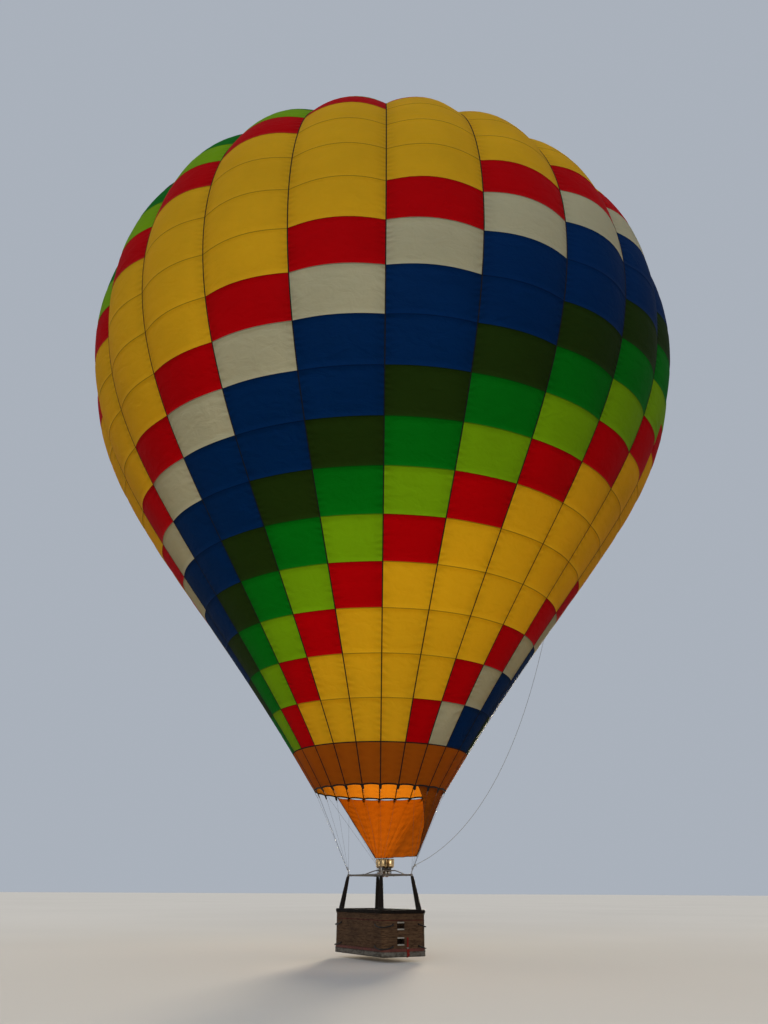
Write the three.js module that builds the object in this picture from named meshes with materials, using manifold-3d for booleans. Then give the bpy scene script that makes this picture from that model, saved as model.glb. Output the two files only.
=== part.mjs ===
// Hot air balloon, full size, in millimetres, +Z up.
// Origin: centre of lift, on the envelope's axis at its widest ring. -Y is the front, the
// cylinders' end of the basket.
// The envelope is sewn from 24 gores hung between load tapes; 24 steel wires carry the
// burner frame and basket from the mouth of the envelope.
import * as THREE from 'three';
import { mergeVertices } from 'three/addons/utils/BufferGeometryUtils.js';
import Module from 'manifold-3d';

const wasm = await Module();
wasm.setup();

// ---------------------------------------------------------------- driving sizes
const LIFT_HEIGHT = 17650;        // lift centre above the underside of the runners
const GORES = 24;                 // gores in the envelope
const PANEL = 1212.8;             // height of one fabric panel along a load tape
const MOUTH_R = 1842;             // tape radius at the mouth
const MOUTH_H = 4033;             // mouth above the underside of the runners
const SHELL = 10;                 // thickness of the envelope shell
const VENT_B = 21;                // ring number of the edge of the vent opening
const GAP = 0.3;                  // clearance between neighbouring pieces
const BASKET = { long: 2700, wide: 1300, corner: 190, wall: 40 };
const RUNNER_H = 40, FLOOR_T = 20, WALL_TOP = 990, RIM_H = 90, RIM_W = 110;
const FRAME = { long: 1810, wide: 950, h: 1903, tube: 21 };
const FOOT = { long: 1070, wide: 575 };    // feet of the uprights, half spacings
const BURNER_Y = -300;            // burner centre along the frame, towards the cylinders' end
const PIVOT_H = 2010;             // burner pivots above the underside of the runners
const WIRE_R = 3;                 // flying wire radius
const CROWN_R = 190;              // crown ring outer radius

// Slope of the load tape above the horizontal, in degrees, at the middle of each panel from
// the mouth (ring -1) to the crown. One column: slope.
const SLOPE = [56.8, 55.5, 54.4, 53.5, 52.9, 52.7, 53.0, 54.5, 57.6, 62.5, 69.2, 77.0, 85.1,
  93.3, 101.7, 110.2, 120.5, 131.0, 140.5, 148.5, 155.0, 160.5, 165.0, 168.5, 171.5];

// How far the middle of a gore stands out from the tapes: ring, bulge.
const BULGE = [[-1, 0], [0, 0], [2, 12], [4, 25], [6, 55], [8, 105], [10, 170], [12, 220],
  [14, 240], [16, 240], [18, 190], [20, 90], [21, 30], [23, 10]];

const rad = (d) => d * Math.PI / 180;
const slopeAt = (b) => {
  const t = Math.min(Math.max(b + 0.5, 0), SLOPE.length - 1.001), i = Math.floor(t);
  return SLOPE[i] + (SLOPE[i + 1] - SLOPE[i]) * (t - i);
};
const bulgeAt = (b) => {
  let i = 0;
  while (i < BULGE.length - 2 && b > BULGE[i + 1][0]) i++;
  const [b0, v0] = BULGE[i], [b1, v1] = BULGE[i + 1];
  return v0 + (v1 - v0) * Math.min(Math.max((b - b0) / (b1 - b0), 0), 1);
};
// Ring radius and height by summing the slope along the tape.
const STEPS = 20, TABLE = [[MOUTH_R, MOUTH_H - LIFT_HEIGHT]];
for (let i = 0; i < 25 * STEPS; i++) {
  const a = rad(slopeAt(-1 + (i + 0.5) / STEPS)), d = PANEL / STEPS, [r, z] = TABLE[i];
  TABLE.push([r + d * Math.cos(a), z + d * Math.sin(a)]);
}
const ring = (b) => {
  const t = Math.min(Math.max((b + 1) * STEPS, 0), TABLE.length - 1.001), i = Math.floor(t), f = t - i;
  return [TABLE[i][0] * (1 - f) + TABLE[i + 1][0] * f, TABLE[i][1] * (1 - f) + TABLE[i + 1][1] * f];
};
const CROWN_B = (() => { let b = 22; while (ring(b)[0] > CROWN_R - 30) b += 0.01; return b; })();

// A point on the envelope: ring number b, angle a in degrees round from the front towards +X,
// stand-off o along the outward normal.
const onTape = (b, a, o) => {
  const [r, z] = ring(b), s = rad(slopeAt(b)), rr = r + o * Math.sin(s);
  return new THREE.Vector3(rr * Math.sin(rad(a)), -rr * Math.cos(rad(a)), z - o * Math.cos(s));
};
const lineAngle = (j) => 360 / GORES * j;

// ---------------------------------------------------------------- helpers
const body = new THREE.Group();
const rig = new THREE.Group();            // basket and frame, heights above the runners
rig.position.z = -LIFT_HEIGHT;
body.add(rig);
const FINISH = {
  yellow: [0xe0a81c, 0.6, 0], red: [0xb01020, 0.6, 0], cream: [0xcfc8ac, 0.6, 0], blue: [0x0f3a78, 0.6, 0],
  darkgreen: [0x2b3418, 0.6, 0], green: [0x108030, 0.6, 0], lime: [0x84b81c, 0.6, 0], nomex: [0x7a4a20, 0.8, 0],
  scoop: [0xa05a1c, 0.8, 0], tape: [0x20201c, 0.8, 0], steel: [0x8e9094, 0.3, 1], alloy: [0xb4b6b8, 0.4, 1],
  wicker: [0x6a4c34, 0.85, 0], leather: [0x17130f, 0.6, 0], wood: [0x9a7448, 0.7, 0], rope: [0x8c8678, 0.9, 0],
  band: [0x4c3a34, 0.75, 0], brass: [0xa8843c, 0.35, 1], red_rope: [0x9c2018, 0.8, 0],
};
const add = (name, geometry, finish, parent = body) => {
  const [color, roughness, metalness] = FINISH[finish];
  const mesh = new THREE.Mesh(geometry, new THREE.MeshStandardMaterial({ color, roughness, metalness }));
  mesh.name = name;
  parent.add(mesh);
  return mesh;
};
// A box whose vertices are carried to place: u across (-1..1), v along (0..1), w out of the sheet (0 inner, 1 outer).
const bent = (nu, nv, place, nw = 1) => {
  const g = new THREE.BoxGeometry(2, 1, 1, nu, nv, nw), p = g.attributes.position;
  for (let i = 0; i < p.count; i++) {
    const q = place(p.getX(i), p.getY(i) + 0.5, p.getZ(i) + 0.5);
    p.setXYZ(i, q.x, q.y, q.z);
  }
  g.deleteAttribute('normal');
  g.deleteAttribute('uv');
  return mergeVertices(g, 1e-4);
};
const solidOf = (g, m) => {
  const c = g.clone();
  c.deleteAttribute('normal');
  c.deleteAttribute('uv');
  if (m) c.applyMatrix4(m);
  const k = mergeVertices(c, 1e-4);
  return new wasm.Manifold(new wasm.Mesh({ numProp: 3,
    vertProperties: new Float32Array(k.attributes.position.array), triVerts: new Uint32Array(k.index.array) }));
};
const geometryOf = (s) => {
  const m = s.getMesh(), g = new THREE.BufferGeometry();
  g.setAttribute('position', new THREE.BufferAttribute(new Float32Array(m.vertProperties), 3));
  g.setIndex(new THREE.BufferAttribute(new Uint32Array(m.triVerts), 1));
  return g;
};
const join = (list) => list.reduce((a, b) => a.add(b));
// A round bar from p to q.
const bar = (p, q, r0, r1 = r0, n = 8) => {
  const d = new THREE.Vector3().subVectors(q, p), len = d.length();
  const g = new THREE.CylinderGeometry(r1, r0, len, n, 1);
  g.translate(0, len / 2, 0);
  g.applyQuaternion(new THREE.Quaternion().setFromUnitVectors(new THREE.Vector3(0, 1, 0), d.normalize()));
  g.translate(p.x, p.y, p.z);
  return g;
};
const V = (x, y, z) => new THREE.Vector3(x, y, z);
const roundRect = (w, l, c, n = 4) => {
  const pts = [];
  for (const [sx, sy, a0] of [[1, 1, 0], [-1, 1, 90], [-1, -1, 180], [1, -1, 270]]) {
    for (let i = 0; i <= n; i++) {
      const a = rad(a0 + 90 * i / n);
      pts.push(new THREE.Vector2(sx * (w / 2 - c) + c * Math.cos(a), sy * (l / 2 - c) + c * Math.sin(a)));
    }
  }
  return pts;
};
const hoop = (w, l, c, t, h, z) => {
  const s = new THREE.Shape(roundRect(w, l, c));
  if (t) s.holes.push(new THREE.Path(roundRect(w - 2 * t, l - 2 * t, Math.max(c - t, 20))));
  const g = new THREE.ExtrudeGeometry(s, { depth: h, bevelEnabled: false, curveSegments: 1 });
  g.translate(0, 0, z);
  return g;
};
const box = (w, l, h, x, y, z) => { const g = new THREE.BoxGeometry(w, l, h); g.translate(x, y, z + h / 2); return g; };

// ---------------------------------------------------------------- envelope gores
// Colour of a panel: the count of its row and gore round a repeat of twelve.
const REPEAT = ['yellow', 'yellow', 'yellow', 'yellow', 'red', 'lime', 'green', 'darkgreen', 'blue', 'blue', 'cream', 'red'];
const ROWS = [0, 3, 6, 8, 9.5, 10.8, 12.1, 13.5, 15, 16.5, 18, 19.5, VENT_B];   // rings that bound the facets
const onGore = (b, g, u, o) => {           // g = gore to the right of line g, u across it
  const half = 180 / GORES, [r] = ring(b), side = GAP / 2 / (r * rad(half));
  const uu = u * (1 - side);
  return onTape(b, lineAngle(g) + half * (1 + uu), o + bulgeAt(b) * (1 - u * u));
};
for (let g = 0; g < GORES; g++) {
  const geo = bent(4, ROWS.length - 1, (u, v, w) => {
    const i = Math.round(v * (ROWS.length - 1));
    const b = i === 0 ? ROWS[0] + GAP / PANEL : ROWS[i];
    return onGore(b, g, u, (w - 1) * SHELL);
  });
  const k = ((4 - g) % 12 + 12) % 12;
  add(`gore_${String(g + 1).padStart(2, '0')}`, geo, REPEAT[k]);
}
// Heat-proof band at the mouth: one closed ring between the mouth and the first panels.
{
  const [r0, z0] = ring(-1), [r1, z1] = ring(0), s = rad(slopeAt(-0.5)), dx = SHELL * Math.sin(s), dz = SHELL * Math.cos(s);
  const g = new THREE.LatheGeometry([[r0, z0], [r1, z1], [r1 - dx, z1 + dz], [r0 - dx, z0 + dz], [r0, z0]]
    .map(([x, y]) => new THREE.Vector2(x, y)), 48);
  g.rotateX(Math.PI / 2);
  add('mouth_band', g, 'nomex');
}

// ---------------------------------------------------------------- crown ring, its tapes and the parachute vent
{
  const TAPE = { half: 32, low: 12, high: 18 };
  const rings = [20.75, 21.2, 22, 22.7, CROWN_B];
  const parts = [];
  for (let j = 0; j < GORES; j++) {
    const a = rad(lineAngle(j));
    parts.push(solidOf(bent(1, rings.length - 1, (u, v, w) => {
      const b = rings[Math.round(v * (rings.length - 1))];
      const p = onTape(b, lineAngle(j), w > 0.5 ? TAPE.high : TAPE.low);
      return V(p.x + u * TAPE.half * Math.cos(a), p.y + u * TAPE.half * Math.sin(a), p.z);
    })));
  }
  const [, zc] = ring(CROWN_B), top = zc + 24;
  const g = new THREE.LatheGeometry([[CROWN_R - 60, top - 20], [CROWN_R, top - 20], [CROWN_R, top], [CROWN_R - 60, top], [CROWN_R - 60, top - 20]]
    .map(([x, y]) => new THREE.Vector2(x, y)), 48);
  g.rotateX(Math.PI / 2);
  parts.push(solidOf(g));
  add('crown_tapes', geometryOf(join(parts)), 'tape');
}
{
  // The vent is a domed disc that closes the opening from inside.
  const IN = -70, EDGE_B = 20.4;
  const list = [EDGE_B, 21.2, 22, 22.8].map((b) => {
    const [r, z] = ring(b), s = rad(slopeAt(b));
    return [r + IN * Math.sin(s), z - IN * Math.cos(s)];
  });
  const apex = list[list.length - 1][1] + 40;
  const outer = [...list.map(([r, z]) => [r, z]), [0, apex]];
  const inner = outer.map(([r, z]) => [r, z - SHELL]).reverse();
  const pts = [...inner, ...outer].map(([x, y]) => new THREE.Vector2(Math.max(x, 0), y));
  const g = new THREE.LatheGeometry(pts, 24);
  g.rotateX(Math.PI / 2);
  g.deleteAttribute('normal');
  g.deleteAttribute('uv');
  add('parachute_vent', geometryOf(solidOf(g)), 'yellow');
}

// ---------------------------------------------------------------- flying wires
const rigPoint = (x, y, h) => V(x, y, h - LIFT_HEIGHT);
// Each corner of the frame takes six neighbouring gore lines: corner name, x side, y side, first line.
const CORNERS = [['front_left', -1, -1, -6], ['front_right', 1, -1, 0], ['back_right', 1, 1, 6], ['back_left', -1, 1, 12]];
const wireFoot = ([, sx, sy]) => rigPoint(sx * FRAME.wide / 2, sy * FRAME.long / 2, FRAME.h + 75);
const wireTop = (j) => { const p = onTape(-1, lineAngle(j), -12); p.z -= 6; return p; };
for (const corner of CORNERS) {
  const foot = wireFoot(corner), dir = onTape(-1, lineAngle(corner[3] + 2.5), 0).sub(foot).normalize();
  const parts = [solidOf(bar(foot.clone().addScaledVector(dir, -35), foot.clone().addScaledVector(dir, 45), 18, 14, 8))];
  for (let i = 0; i < 6; i++) parts.push(solidOf(bar(foot, wireTop(corner[3] + i), WIRE_R, WIRE_R, 5)));
  add(`flying_wires_${corner[0]}`, geometryOf(join(parts)), 'steel');
}

// ---------------------------------------------------------------- scoop under the mouth
// A half funnel of cloth inside the wires, from gore line 0 round the right to gore line 13, down to
// an edge over the right long side of the frame. Its free front edge slants from the mouth to the
// wires' meeting at the corner of the frame.
{
  const TO = 13, LOW_H = 2370 - LIFT_HEIGHT, TOP_IN = 90, N = 26;
  const along = (list, x) => {             // straight pieces through [x, y] pairs
    let i = 0;
    while (i < list.length - 2 && x > list[i + 1][0]) i++;
    const [x0, y0] = list[i], [x1, y1] = list[i + 1];
    return y0 + (y1 - y0) * Math.min(Math.max((x - x0) / (x1 - x0), 0), 1);
  };
  const EDGE = [[0, 2.6], [0.2, 2.1], [0.5, 1.45], [0.85, 0.72], [1, 0.3]];   // share of the height, gore line
  const DROP = [[1, -20], [4, 60]], INSET = [[2, 25], [5, 60]];              // gore line, millimetres
  const wireAt = (j) => {
    const foot = wireFoot(j < 5.5 ? CORNERS[1] : CORNERS[2]), end = wireTop(j);
    return foot.clone().lerp(end, (LOW_H - foot.z) / (end.z - foot.z));
  };
  const lowAt = (j) => {
    const k = Math.min(j, 11);
    const p = k > 5 && k < 6 ? wireAt(5).lerp(wireAt(6), k - 5) : wireAt(k);
    const r = Math.hypot(p.x, p.y), inset = along(INSET, j);
    return V(p.x * (1 - inset / r), p.y * (1 - inset / r), p.z);
  };
  // half steps along the gore lines; those below line 3 close up towards the free edge
  const place = (u, v, w) => {
    const j0 = TO * Math.round((u + 1) / 2 * N) / N, edge = along(EDGE, v);
    const j = j0 >= 3 ? j0 : edge + (3 - edge) * j0 / 3, topP = onTape(-1, lineAngle(j), -TOP_IN);
    topP.z -= along(DROP, j);
    const p = topP.lerp(lowAt(j), 1 - v);
    return p.addScaledVector(V(Math.sin(rad(lineAngle(j))), -Math.cos(rad(lineAngle(j))), -0.55).normalize(), (w - 1) * SHELL);
  };
  add('scoop', bent(N, 4, place), 'scoop');
}

// ---------------------------------------------------------------- burner frame and bridge
{
  const w = FRAME.wide / 2, l = FRAME.long / 2, h = FRAME.h, t = FRAME.tube;
  const parts = [[w, l, w, -l], [-w, l, -w, -l], [w, l, -w, l], [w, -l, -w, -l]]
    .map(([x0, y0, x1, y1]) => solidOf(bar(V(x0, y0, h), V(x1, y1, h), t, t, 10)));
  for (const [, sx, sy] of CORNERS) {
    const top = V(sx * w, sy * l, h), foot = V(sx * FOOT.wide, sy * FOOT.long, WALL_TOP + RIM_H);
    const d = foot.clone().sub(top).normalize();
    parts.push(solidOf(bar(top.clone().addScaledVector(d, -30), top.clone().addScaledVector(d, 120), 30, 30, 10)));
  }
  // two arches carry the burner pivots over the long bars: along the frame, half spacing
  const A = { half: 290, rise: PIVOT_H, in: 150 };
  for (const s of [-1, 1]) {
    const y = BURNER_Y + s * A.half, yf = BURNER_Y + s * (A.half + 40);
    parts.push(solidOf(bar(V(-w, yf, h), V(-A.in, y, A.rise), 13, 13, 8)));
    parts.push(solidOf(bar(V(w, yf, h), V(A.in, y, A.rise), 13, 13, 8)));
    parts.push(solidOf(bar(V(-A.in - 6, y, A.rise), V(A.in + 6, y, A.rise), 15, 15, 8)));
  }
  add('burner_frame', geometryOf(join(parts)), 'steel', rig);
}

// ---------------------------------------------------------------- gimbal ring and burner
const GIMBAL = { w: 330, l: 420, t: 12 };
{
  // a square hoop between the arches, turning about the long axis on stub pins
  const s = new THREE.Shape(roundRect(GIMBAL.w * 2 / 2 + 60, GIMBAL.l, 60));
  s.holes.push(new THREE.Path(roundRect(GIMBAL.w + 60 - 2 * 22, GIMBAL.l - 2 * 22, 40)));
  const g = new THREE.ExtrudeGeometry(s, { depth: 26, bevelEnabled: false, curveSegments: 1 });
  g.translate(0, BURNER_Y, PIVOT_H - 13);
  const parts = [solidOf(g)];
  for (const k of [-1, 1]) {
    parts.push(solidOf(bar(V(0, BURNER_Y + k * (GIMBAL.l / 2 - 12), PIVOT_H), V(0, BURNER_Y + k * (290 - 15.4), PIVOT_H), 11, 11, 12)));
  }
  add('gimbal_ring', geometryOf(join(parts)), 'alloy', rig);
}
const CAN = { r: 95, space: 110, low: 2075, high: 2300, wall: 3 };
{
  // valve block with its hand levers, hung between the gimbal ring's short pins
  const parts = [solidOf(box(250, 250, 145, 0, BURNER_Y, 1925))];
  for (const k of [-1, 1]) {
    parts.push(solidOf(bar(V(k * 110, BURNER_Y, PIVOT_H), V(k * (GIMBAL.w / 2 + 30 - 22 - 0.4), BURNER_Y, PIVOT_H), 11, 11, 12)));
    parts.push(solidOf(box(60, 70, 110, k * 95, BURNER_Y, 1945)));
    // lever bars under the block
    parts.push(solidOf(bar(V(k * 60, BURNER_Y - 90, 1860), V(k * 60, BURNER_Y + 90, 1860), 9, 9, 8)));
    for (const q of [-1, 1]) parts.push(solidOf(bar(V(k * 60, BURNER_Y + q * 82, 1860), V(k * 60, BURNER_Y + q * 82, 1930), 7, 7, 8)));
  }
  add('burner_block', geometryOf(join(parts)), 'brass', rig);
}
{
  let n = 0;
  for (const [sx, sy] of [[-1, -1], [1, -1], [1, 1], [-1, 1]]) {
    n++;
    // open can: floor, wall and rolled rim
    const p = [[0, CAN.low], [60, CAN.low], [CAN.r, CAN.low + 45], [CAN.r, CAN.high], [CAN.r - CAN.wall, CAN.high],
      [CAN.r - CAN.wall, CAN.low + 47], [60, CAN.low + 4], [0, CAN.low + 4]];
    const g = new THREE.LatheGeometry(p.map(([x, y]) => new THREE.Vector2(x, y)), 20);
    g.rotateX(Math.PI / 2);
    g.deleteAttribute('normal');
    g.deleteAttribute('uv');
    // the coil inside stands on the floor of the can
    const coil = new THREE.LatheGeometry([[62, CAN.low + 40], [80, CAN.low + 40], [80, CAN.high - 20], [62, CAN.high - 20], [62, CAN.low + 40]]
      .map(([x, y]) => new THREE.Vector2(x, y)), 20);
    coil.rotateX(Math.PI / 2);
    const foot = bar(V(0, 0, CAN.low - 4.7), V(0, 0, CAN.low + 1), 40, 40, 12);
    const post = bar(V(0, 0, CAN.low + 2), V(0, 0, CAN.low + 70), 14, 14, 8);
    const rib = box(150, 12, 14, 0, 0, CAN.low + 42);
    const s = join([solidOf(g), solidOf(coil), solidOf(foot), solidOf(post), solidOf(rib)]);
    add(`burner_can_${n}`, geometryOf(s), 'alloy', rig).position.set(sx * CAN.space, BURNER_Y + sy * CAN.space, 0);
  }
}

// ---------------------------------------------------------------- uprights
for (const [name, sx, sy] of CORNERS) {
  const top = V(sx * FRAME.wide / 2, sy * FRAME.long / 2, FRAME.h);
  const foot = V(sx * FOOT.wide, sy * FOOT.long, WALL_TOP + RIM_H + GAP);
  const d = top.clone().sub(foot).normalize();
  const high = top.clone().addScaledVector(d, -138);
  const len = high.distanceTo(foot);
  // the padded sleeve's lower end is cut level on the rim
  const g = new THREE.CylinderGeometry(46, 74, 1, 10, 1).translate(0, 0.5, 0).rotateX(Math.PI / 2);
  const p = g.attributes.position;
  for (let i = 0; i < p.count; i++) {
    const t = p.getZ(i), c = foot.clone().lerp(high, t);
    p.setXYZ(i, c.x + p.getX(i), c.y + p.getY(i), c.z);
  }
  add(`upright_${name}`, g, 'leather', rig);
}

// ---------------------------------------------------------------- basket
const WALL_LOW = RUNNER_H + FLOOR_T + GAP;
const IN_W = BASKET.wide - 2 * BASKET.wall, IN_L = BASKET.long - 2 * BASKET.wall;
// Step holes through the end walls: x, height of the centre, width, height, end.
const STEP_HOLES = [[-155, 713, 140, 115, -1], [-155, 368, 140, 115, -1], [155, 713, 140, 115, 1], [155, 368, 140, 115, 1]];
{
  let s = solidOf(hoop(BASKET.wide, BASKET.long, BASKET.corner, BASKET.wall, WALL_TOP - WALL_LOW, WALL_LOW));
  for (const [x, h, w, t, e] of STEP_HOLES) s = s.subtract(solidOf(box(w, 200, t, x, e * (BASKET.long / 2 - 20), h - t / 2)));
  add('basket_wall', geometryOf(s), 'wicker', rig);
  add('basket_floor', hoop(BASKET.wide, BASKET.long, BASKET.corner, 0, FLOOR_T - GAP, RUNNER_H + GAP), 'wood', rig);
  add('basket_rim', hoop(BASKET.wide + 50, BASKET.long + 50, BASKET.corner + 25, RIM_W, RIM_H - GAP, WALL_TOP + GAP), 'leather', rig);
  add('base_skirt', hoop(BASKET.wide + 24.6, BASKET.long + 24.6, BASKET.corner + 12, 12, 120, 20), 'band', rig);
}
// Runners under the floor: x, width.
[[-470, 90], [0, 90], [470, 90]].forEach(([x, w], i) =>
  add(`runner_${i + 1}`, box(w, 2440, RUNNER_H, x, 0, 0), 'wood', rig));
// Partitions: one across the basket near the cylinders, one along the rest of it.
const CROSS_Y = -520;
add('partition_cross', box(IN_W - 2 * GAP, 50, 900, 0, CROSS_Y, WALL_LOW), 'wicker', rig);
add('partition_long', box(50, IN_L / 2 - CROSS_Y - 25 - 2 * GAP, 900, 0, (IN_L / 2 + CROSS_Y + 25) / 2, WALL_LOW), 'wicker', rig);
// Fuel cylinders in the corners of the -Y end: x, y.
[[-445, -1115], [445, -1115], [-445, -740], [445, -740]].forEach(([x, y], i) => {
  const p = [[0, 0], [130, 0], [150, 30], [150, 690], [120, 745], [60, 775], [60, 860], [0, 860]].map(([a, b]) => new THREE.Vector2(a, b + WALL_LOW + GAP));
  const g = new THREE.LatheGeometry(p, 16);
  g.rotateX(Math.PI / 2);
  g.deleteAttribute('normal');
  g.deleteAttribute('uv');
  add(`fuel_cylinder_${i + 1}`, geometryOf(solidOf(g)), 'steel', rig).position.set(x, y, 0);
});

// ---------------------------------------------------------------- crown line
// A rope from the crown ring down the right of the envelope, hanging free from the widest
// ring to the flying wires of the front right corner.
{
  const A = 97.26, LEAVES = 9.86, pts = [], r = 6, PROUD = 14;
  const g = Math.floor(A / 15), u = (A - lineAngle(g)) / 7.5 - 1;
  const top = ring(CROWN_B)[1] + 24;
  pts.push(V(CROWN_R * 0.9 * Math.sin(rad(A)), -CROWN_R * 0.9 * Math.cos(rad(A)), top + r + 8));
  for (let b = 22.55; b > LEAVES + 0.2; b -= 0.55) {
    const o = b > 20.6 ? 46 - (22.55 - b) * 12 : PROUD;
    pts.push(onTape(b, A, o + r + bulgeAt(b) * (1 - u * u)));
  }
  // hanging stretch, from the widest ring to the flying wires: catenary in one upright plane
  const e = onTape(LEAVES, A, PROUD + r + bulgeAt(LEAVES) * (1 - u * u)), f = V(526, -1007, 2146 - LIFT_HEIGHT);
  const d = Math.hypot(e.x - f.x, e.y - f.y), h = e.z - f.z, S = 1.034 * Math.hypot(d, h);
  const k = Math.sqrt(S * S - h * h) / d;
  let lo = 1e-6, hi = 30;
  for (let i = 0; i < 80; i++) { const m = (lo + hi) / 2; if (Math.sinh(m) / m < k) lo = m; else hi = m; }
  const a = d / (lo + hi), x0 = 0.5 * (d - a * Math.log((S + h) / (S - h)));
  const y0 = f.z - a * Math.cosh(-x0 / a), n = 30;
  for (let i = 0; i <= n; i++) {
    const t = d * (1 - i / n) ** 1.35;
    pts.push(V(f.x + (e.x - f.x) * t / d, f.y + (e.y - f.y) * t / d, a * Math.cosh((t - x0) / a) + y0));
  }
  const sec = new THREE.Shape(Array.from({ length: 8 }, (_, i) => new THREE.Vector2(r * Math.cos(i * Math.PI / 4), r * Math.sin(i * Math.PI / 4))));
  const curve = new THREE.CatmullRomCurve3(pts, false, 'centripetal');
  add('crown_line', new THREE.ExtrudeGeometry(sec, { steps: 80, extrudePath: curve, bevelEnabled: false, curveSegments: 1 }), 'rope');
}

export default body;
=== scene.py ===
"""Hot air balloon: the finished surfaces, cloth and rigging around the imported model, in metres.

Frame: +Z up, origin on the envelope's axis at its widest ring, -Y the cylinders' end of the basket.
Ring number b counts panels up a load tape from the lower edge of the coloured cloth (b = 0);
the mouth is b = -1 and the edge of the vent opening b = 21. Gore line j stands at 15 j degrees
round from the front towards +X.
"""
import math

import bpy
import numpy as np
from mathutils import Matrix, Vector


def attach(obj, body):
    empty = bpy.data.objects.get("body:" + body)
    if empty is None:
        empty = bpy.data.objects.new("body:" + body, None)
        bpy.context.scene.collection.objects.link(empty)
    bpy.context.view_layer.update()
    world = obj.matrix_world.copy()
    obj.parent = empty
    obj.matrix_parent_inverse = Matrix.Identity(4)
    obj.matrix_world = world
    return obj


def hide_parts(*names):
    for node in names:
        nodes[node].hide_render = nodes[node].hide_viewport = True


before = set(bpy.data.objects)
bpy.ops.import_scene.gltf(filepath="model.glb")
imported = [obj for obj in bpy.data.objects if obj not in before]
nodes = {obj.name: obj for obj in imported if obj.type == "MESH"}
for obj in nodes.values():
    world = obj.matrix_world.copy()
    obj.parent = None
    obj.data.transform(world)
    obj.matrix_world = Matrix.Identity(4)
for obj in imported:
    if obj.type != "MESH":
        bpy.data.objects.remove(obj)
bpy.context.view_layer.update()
RNG = np.random.default_rng(7)
PI, TAU = math.pi, 2 * math.pi

# ------------------------------------------------------------------ sizes, in metres
LIFT = 17.65
GORES = 24
PANEL = 1.2128
MOUTH_R, MOUTH_H = 1.842, 4.033
SLOPE = np.array([56.8, 55.5, 54.4, 53.5, 52.9, 52.7, 53.0, 54.5, 57.6, 62.5, 69.2, 77.0, 85.1,
                  93.3, 101.7, 110.2, 120.5, 131.0, 140.5, 148.5, 155.0, 160.5, 165.0, 168.5, 171.5])
BULGE = np.array([(-1, 0), (0, 0), (2, .012), (4, .025), (6, .055), (8, .105), (10, .170), (12, .220),
                  (14, .240), (16, .240), (18, .190), (20, .090), (21, .030), (23, .010)])
VENT_B = 21
RUNNER_H, FLOOR_T, WALL_TOP, RIM_H, RIM_W = .040, .020, .990, .090, .110
BASKET_L, BASKET_W, CORNER, WALL = 2.700, 1.300, .190, .040
FRAME_L, FRAME_W, FRAME_H, TUBE = 1.810, .950, 1.903, .021
FOOT_L, FOOT_W = 1.070, .575
BURNER_Y, PIVOT_H = -.300, 2.010
CORNERS = [("front_left", -1, -1, -6), ("front_right", 1, -1, 0), ("back_right", 1, 1, 6), ("back_left", -1, 1, 12)]
FLOOR_Z = -LIFT - .10


def zh(h):
    """Height in the frame of a height above the underside of the runners."""
    return h - LIFT


# ------------------------------------------------------------------ envelope shape
def slope(b):
    return np.interp(np.asarray(b, float) + .5, np.arange(len(SLOPE)), SLOPE)


_B = np.linspace(-1, 24, 25 * 20 + 1)
_mid = np.radians(slope((_B[1:] + _B[:-1]) / 2))
_R = MOUTH_R + np.concatenate([[0], np.cumsum(np.cos(_mid))]) * PANEL / 20
_Z = zh(MOUTH_H) + np.concatenate([[0], np.cumsum(np.sin(_mid))]) * PANEL / 20


def ring(b):
    return np.interp(b, _B, _R), np.interp(b, _B, _Z)


def bulge(b):
    return np.interp(b, BULGE[:, 0], BULGE[:, 1])


CROWN_B = float(np.interp(-.160, -_R[_B >= 15], _B[_B >= 15]))


def on_tape(b, a, o=0.0):
    """Point at ring b, angle a in degrees, o metres out along the normal."""
    b, a, o = np.broadcast_arrays(np.asarray(b, float), np.asarray(a, float), np.asarray(o, float))
    (r, z), s, t = ring(b), np.radians(slope(b)), np.radians(a)
    rr = r + o * np.sin(s)
    return np.stack([rr * np.sin(t), -rr * np.cos(t), z - o * np.cos(s)], -1)


def on_gore(b, g, u, o=0.0):
    """Point on gore g (between lines g and g + 1), u from -1 to 1 across it."""
    b, u, o = np.broadcast_arrays(np.asarray(b, float), np.asarray(u, float), np.asarray(o, float))
    return on_tape(b, 15 * g + 7.5 * (1 + u), o + bulge(b) * (1 - u * u))


# ------------------------------------------------------------------ camera
CAM = Vector((-12.13, -20.71, -16.184))
PITCH, ROLL = math.radians(25.46), math.radians(.29)
ahead = Vector((.508, .861, 0)).normalized()
look = Vector((ahead.x * math.cos(PITCH), ahead.y * math.cos(PITCH), math.sin(PITCH)))
cam_data = bpy.data.cameras.new("camera")
cam_data.sensor_fit, cam_data.sensor_width, cam_data.lens = "AUTO", 36, 28.125
cam_data.clip_start, cam_data.clip_end = .1, 2000
cam = bpy.data.objects.new("camera", cam_data)
bpy.context.scene.collection.objects.link(cam)
right = look.cross(Vector((0, 0, 1))).normalized()
up = right.cross(look)
turned_up = up * math.cos(ROLL) - right * math.sin(ROLL)
turned_right = right * math.cos(ROLL) + up * math.sin(ROLL)
cam.matrix_world = Matrix((
    (turned_right.x, turned_up.x, -look.x, CAM.x),
    (turned_right.y, turned_up.y, -look.y, CAM.y),
    (turned_right.z, turned_up.z, -look.z, CAM.z),
    (0, 0, 0, 1)))
bpy.context.scene.camera = cam


# ------------------------------------------------------------------ mesh helpers
def unit(v):
    v = np.asarray(v, float)
    return v / np.maximum(np.linalg.norm(v, axis=-1, keepdims=True), 1e-12)


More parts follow.
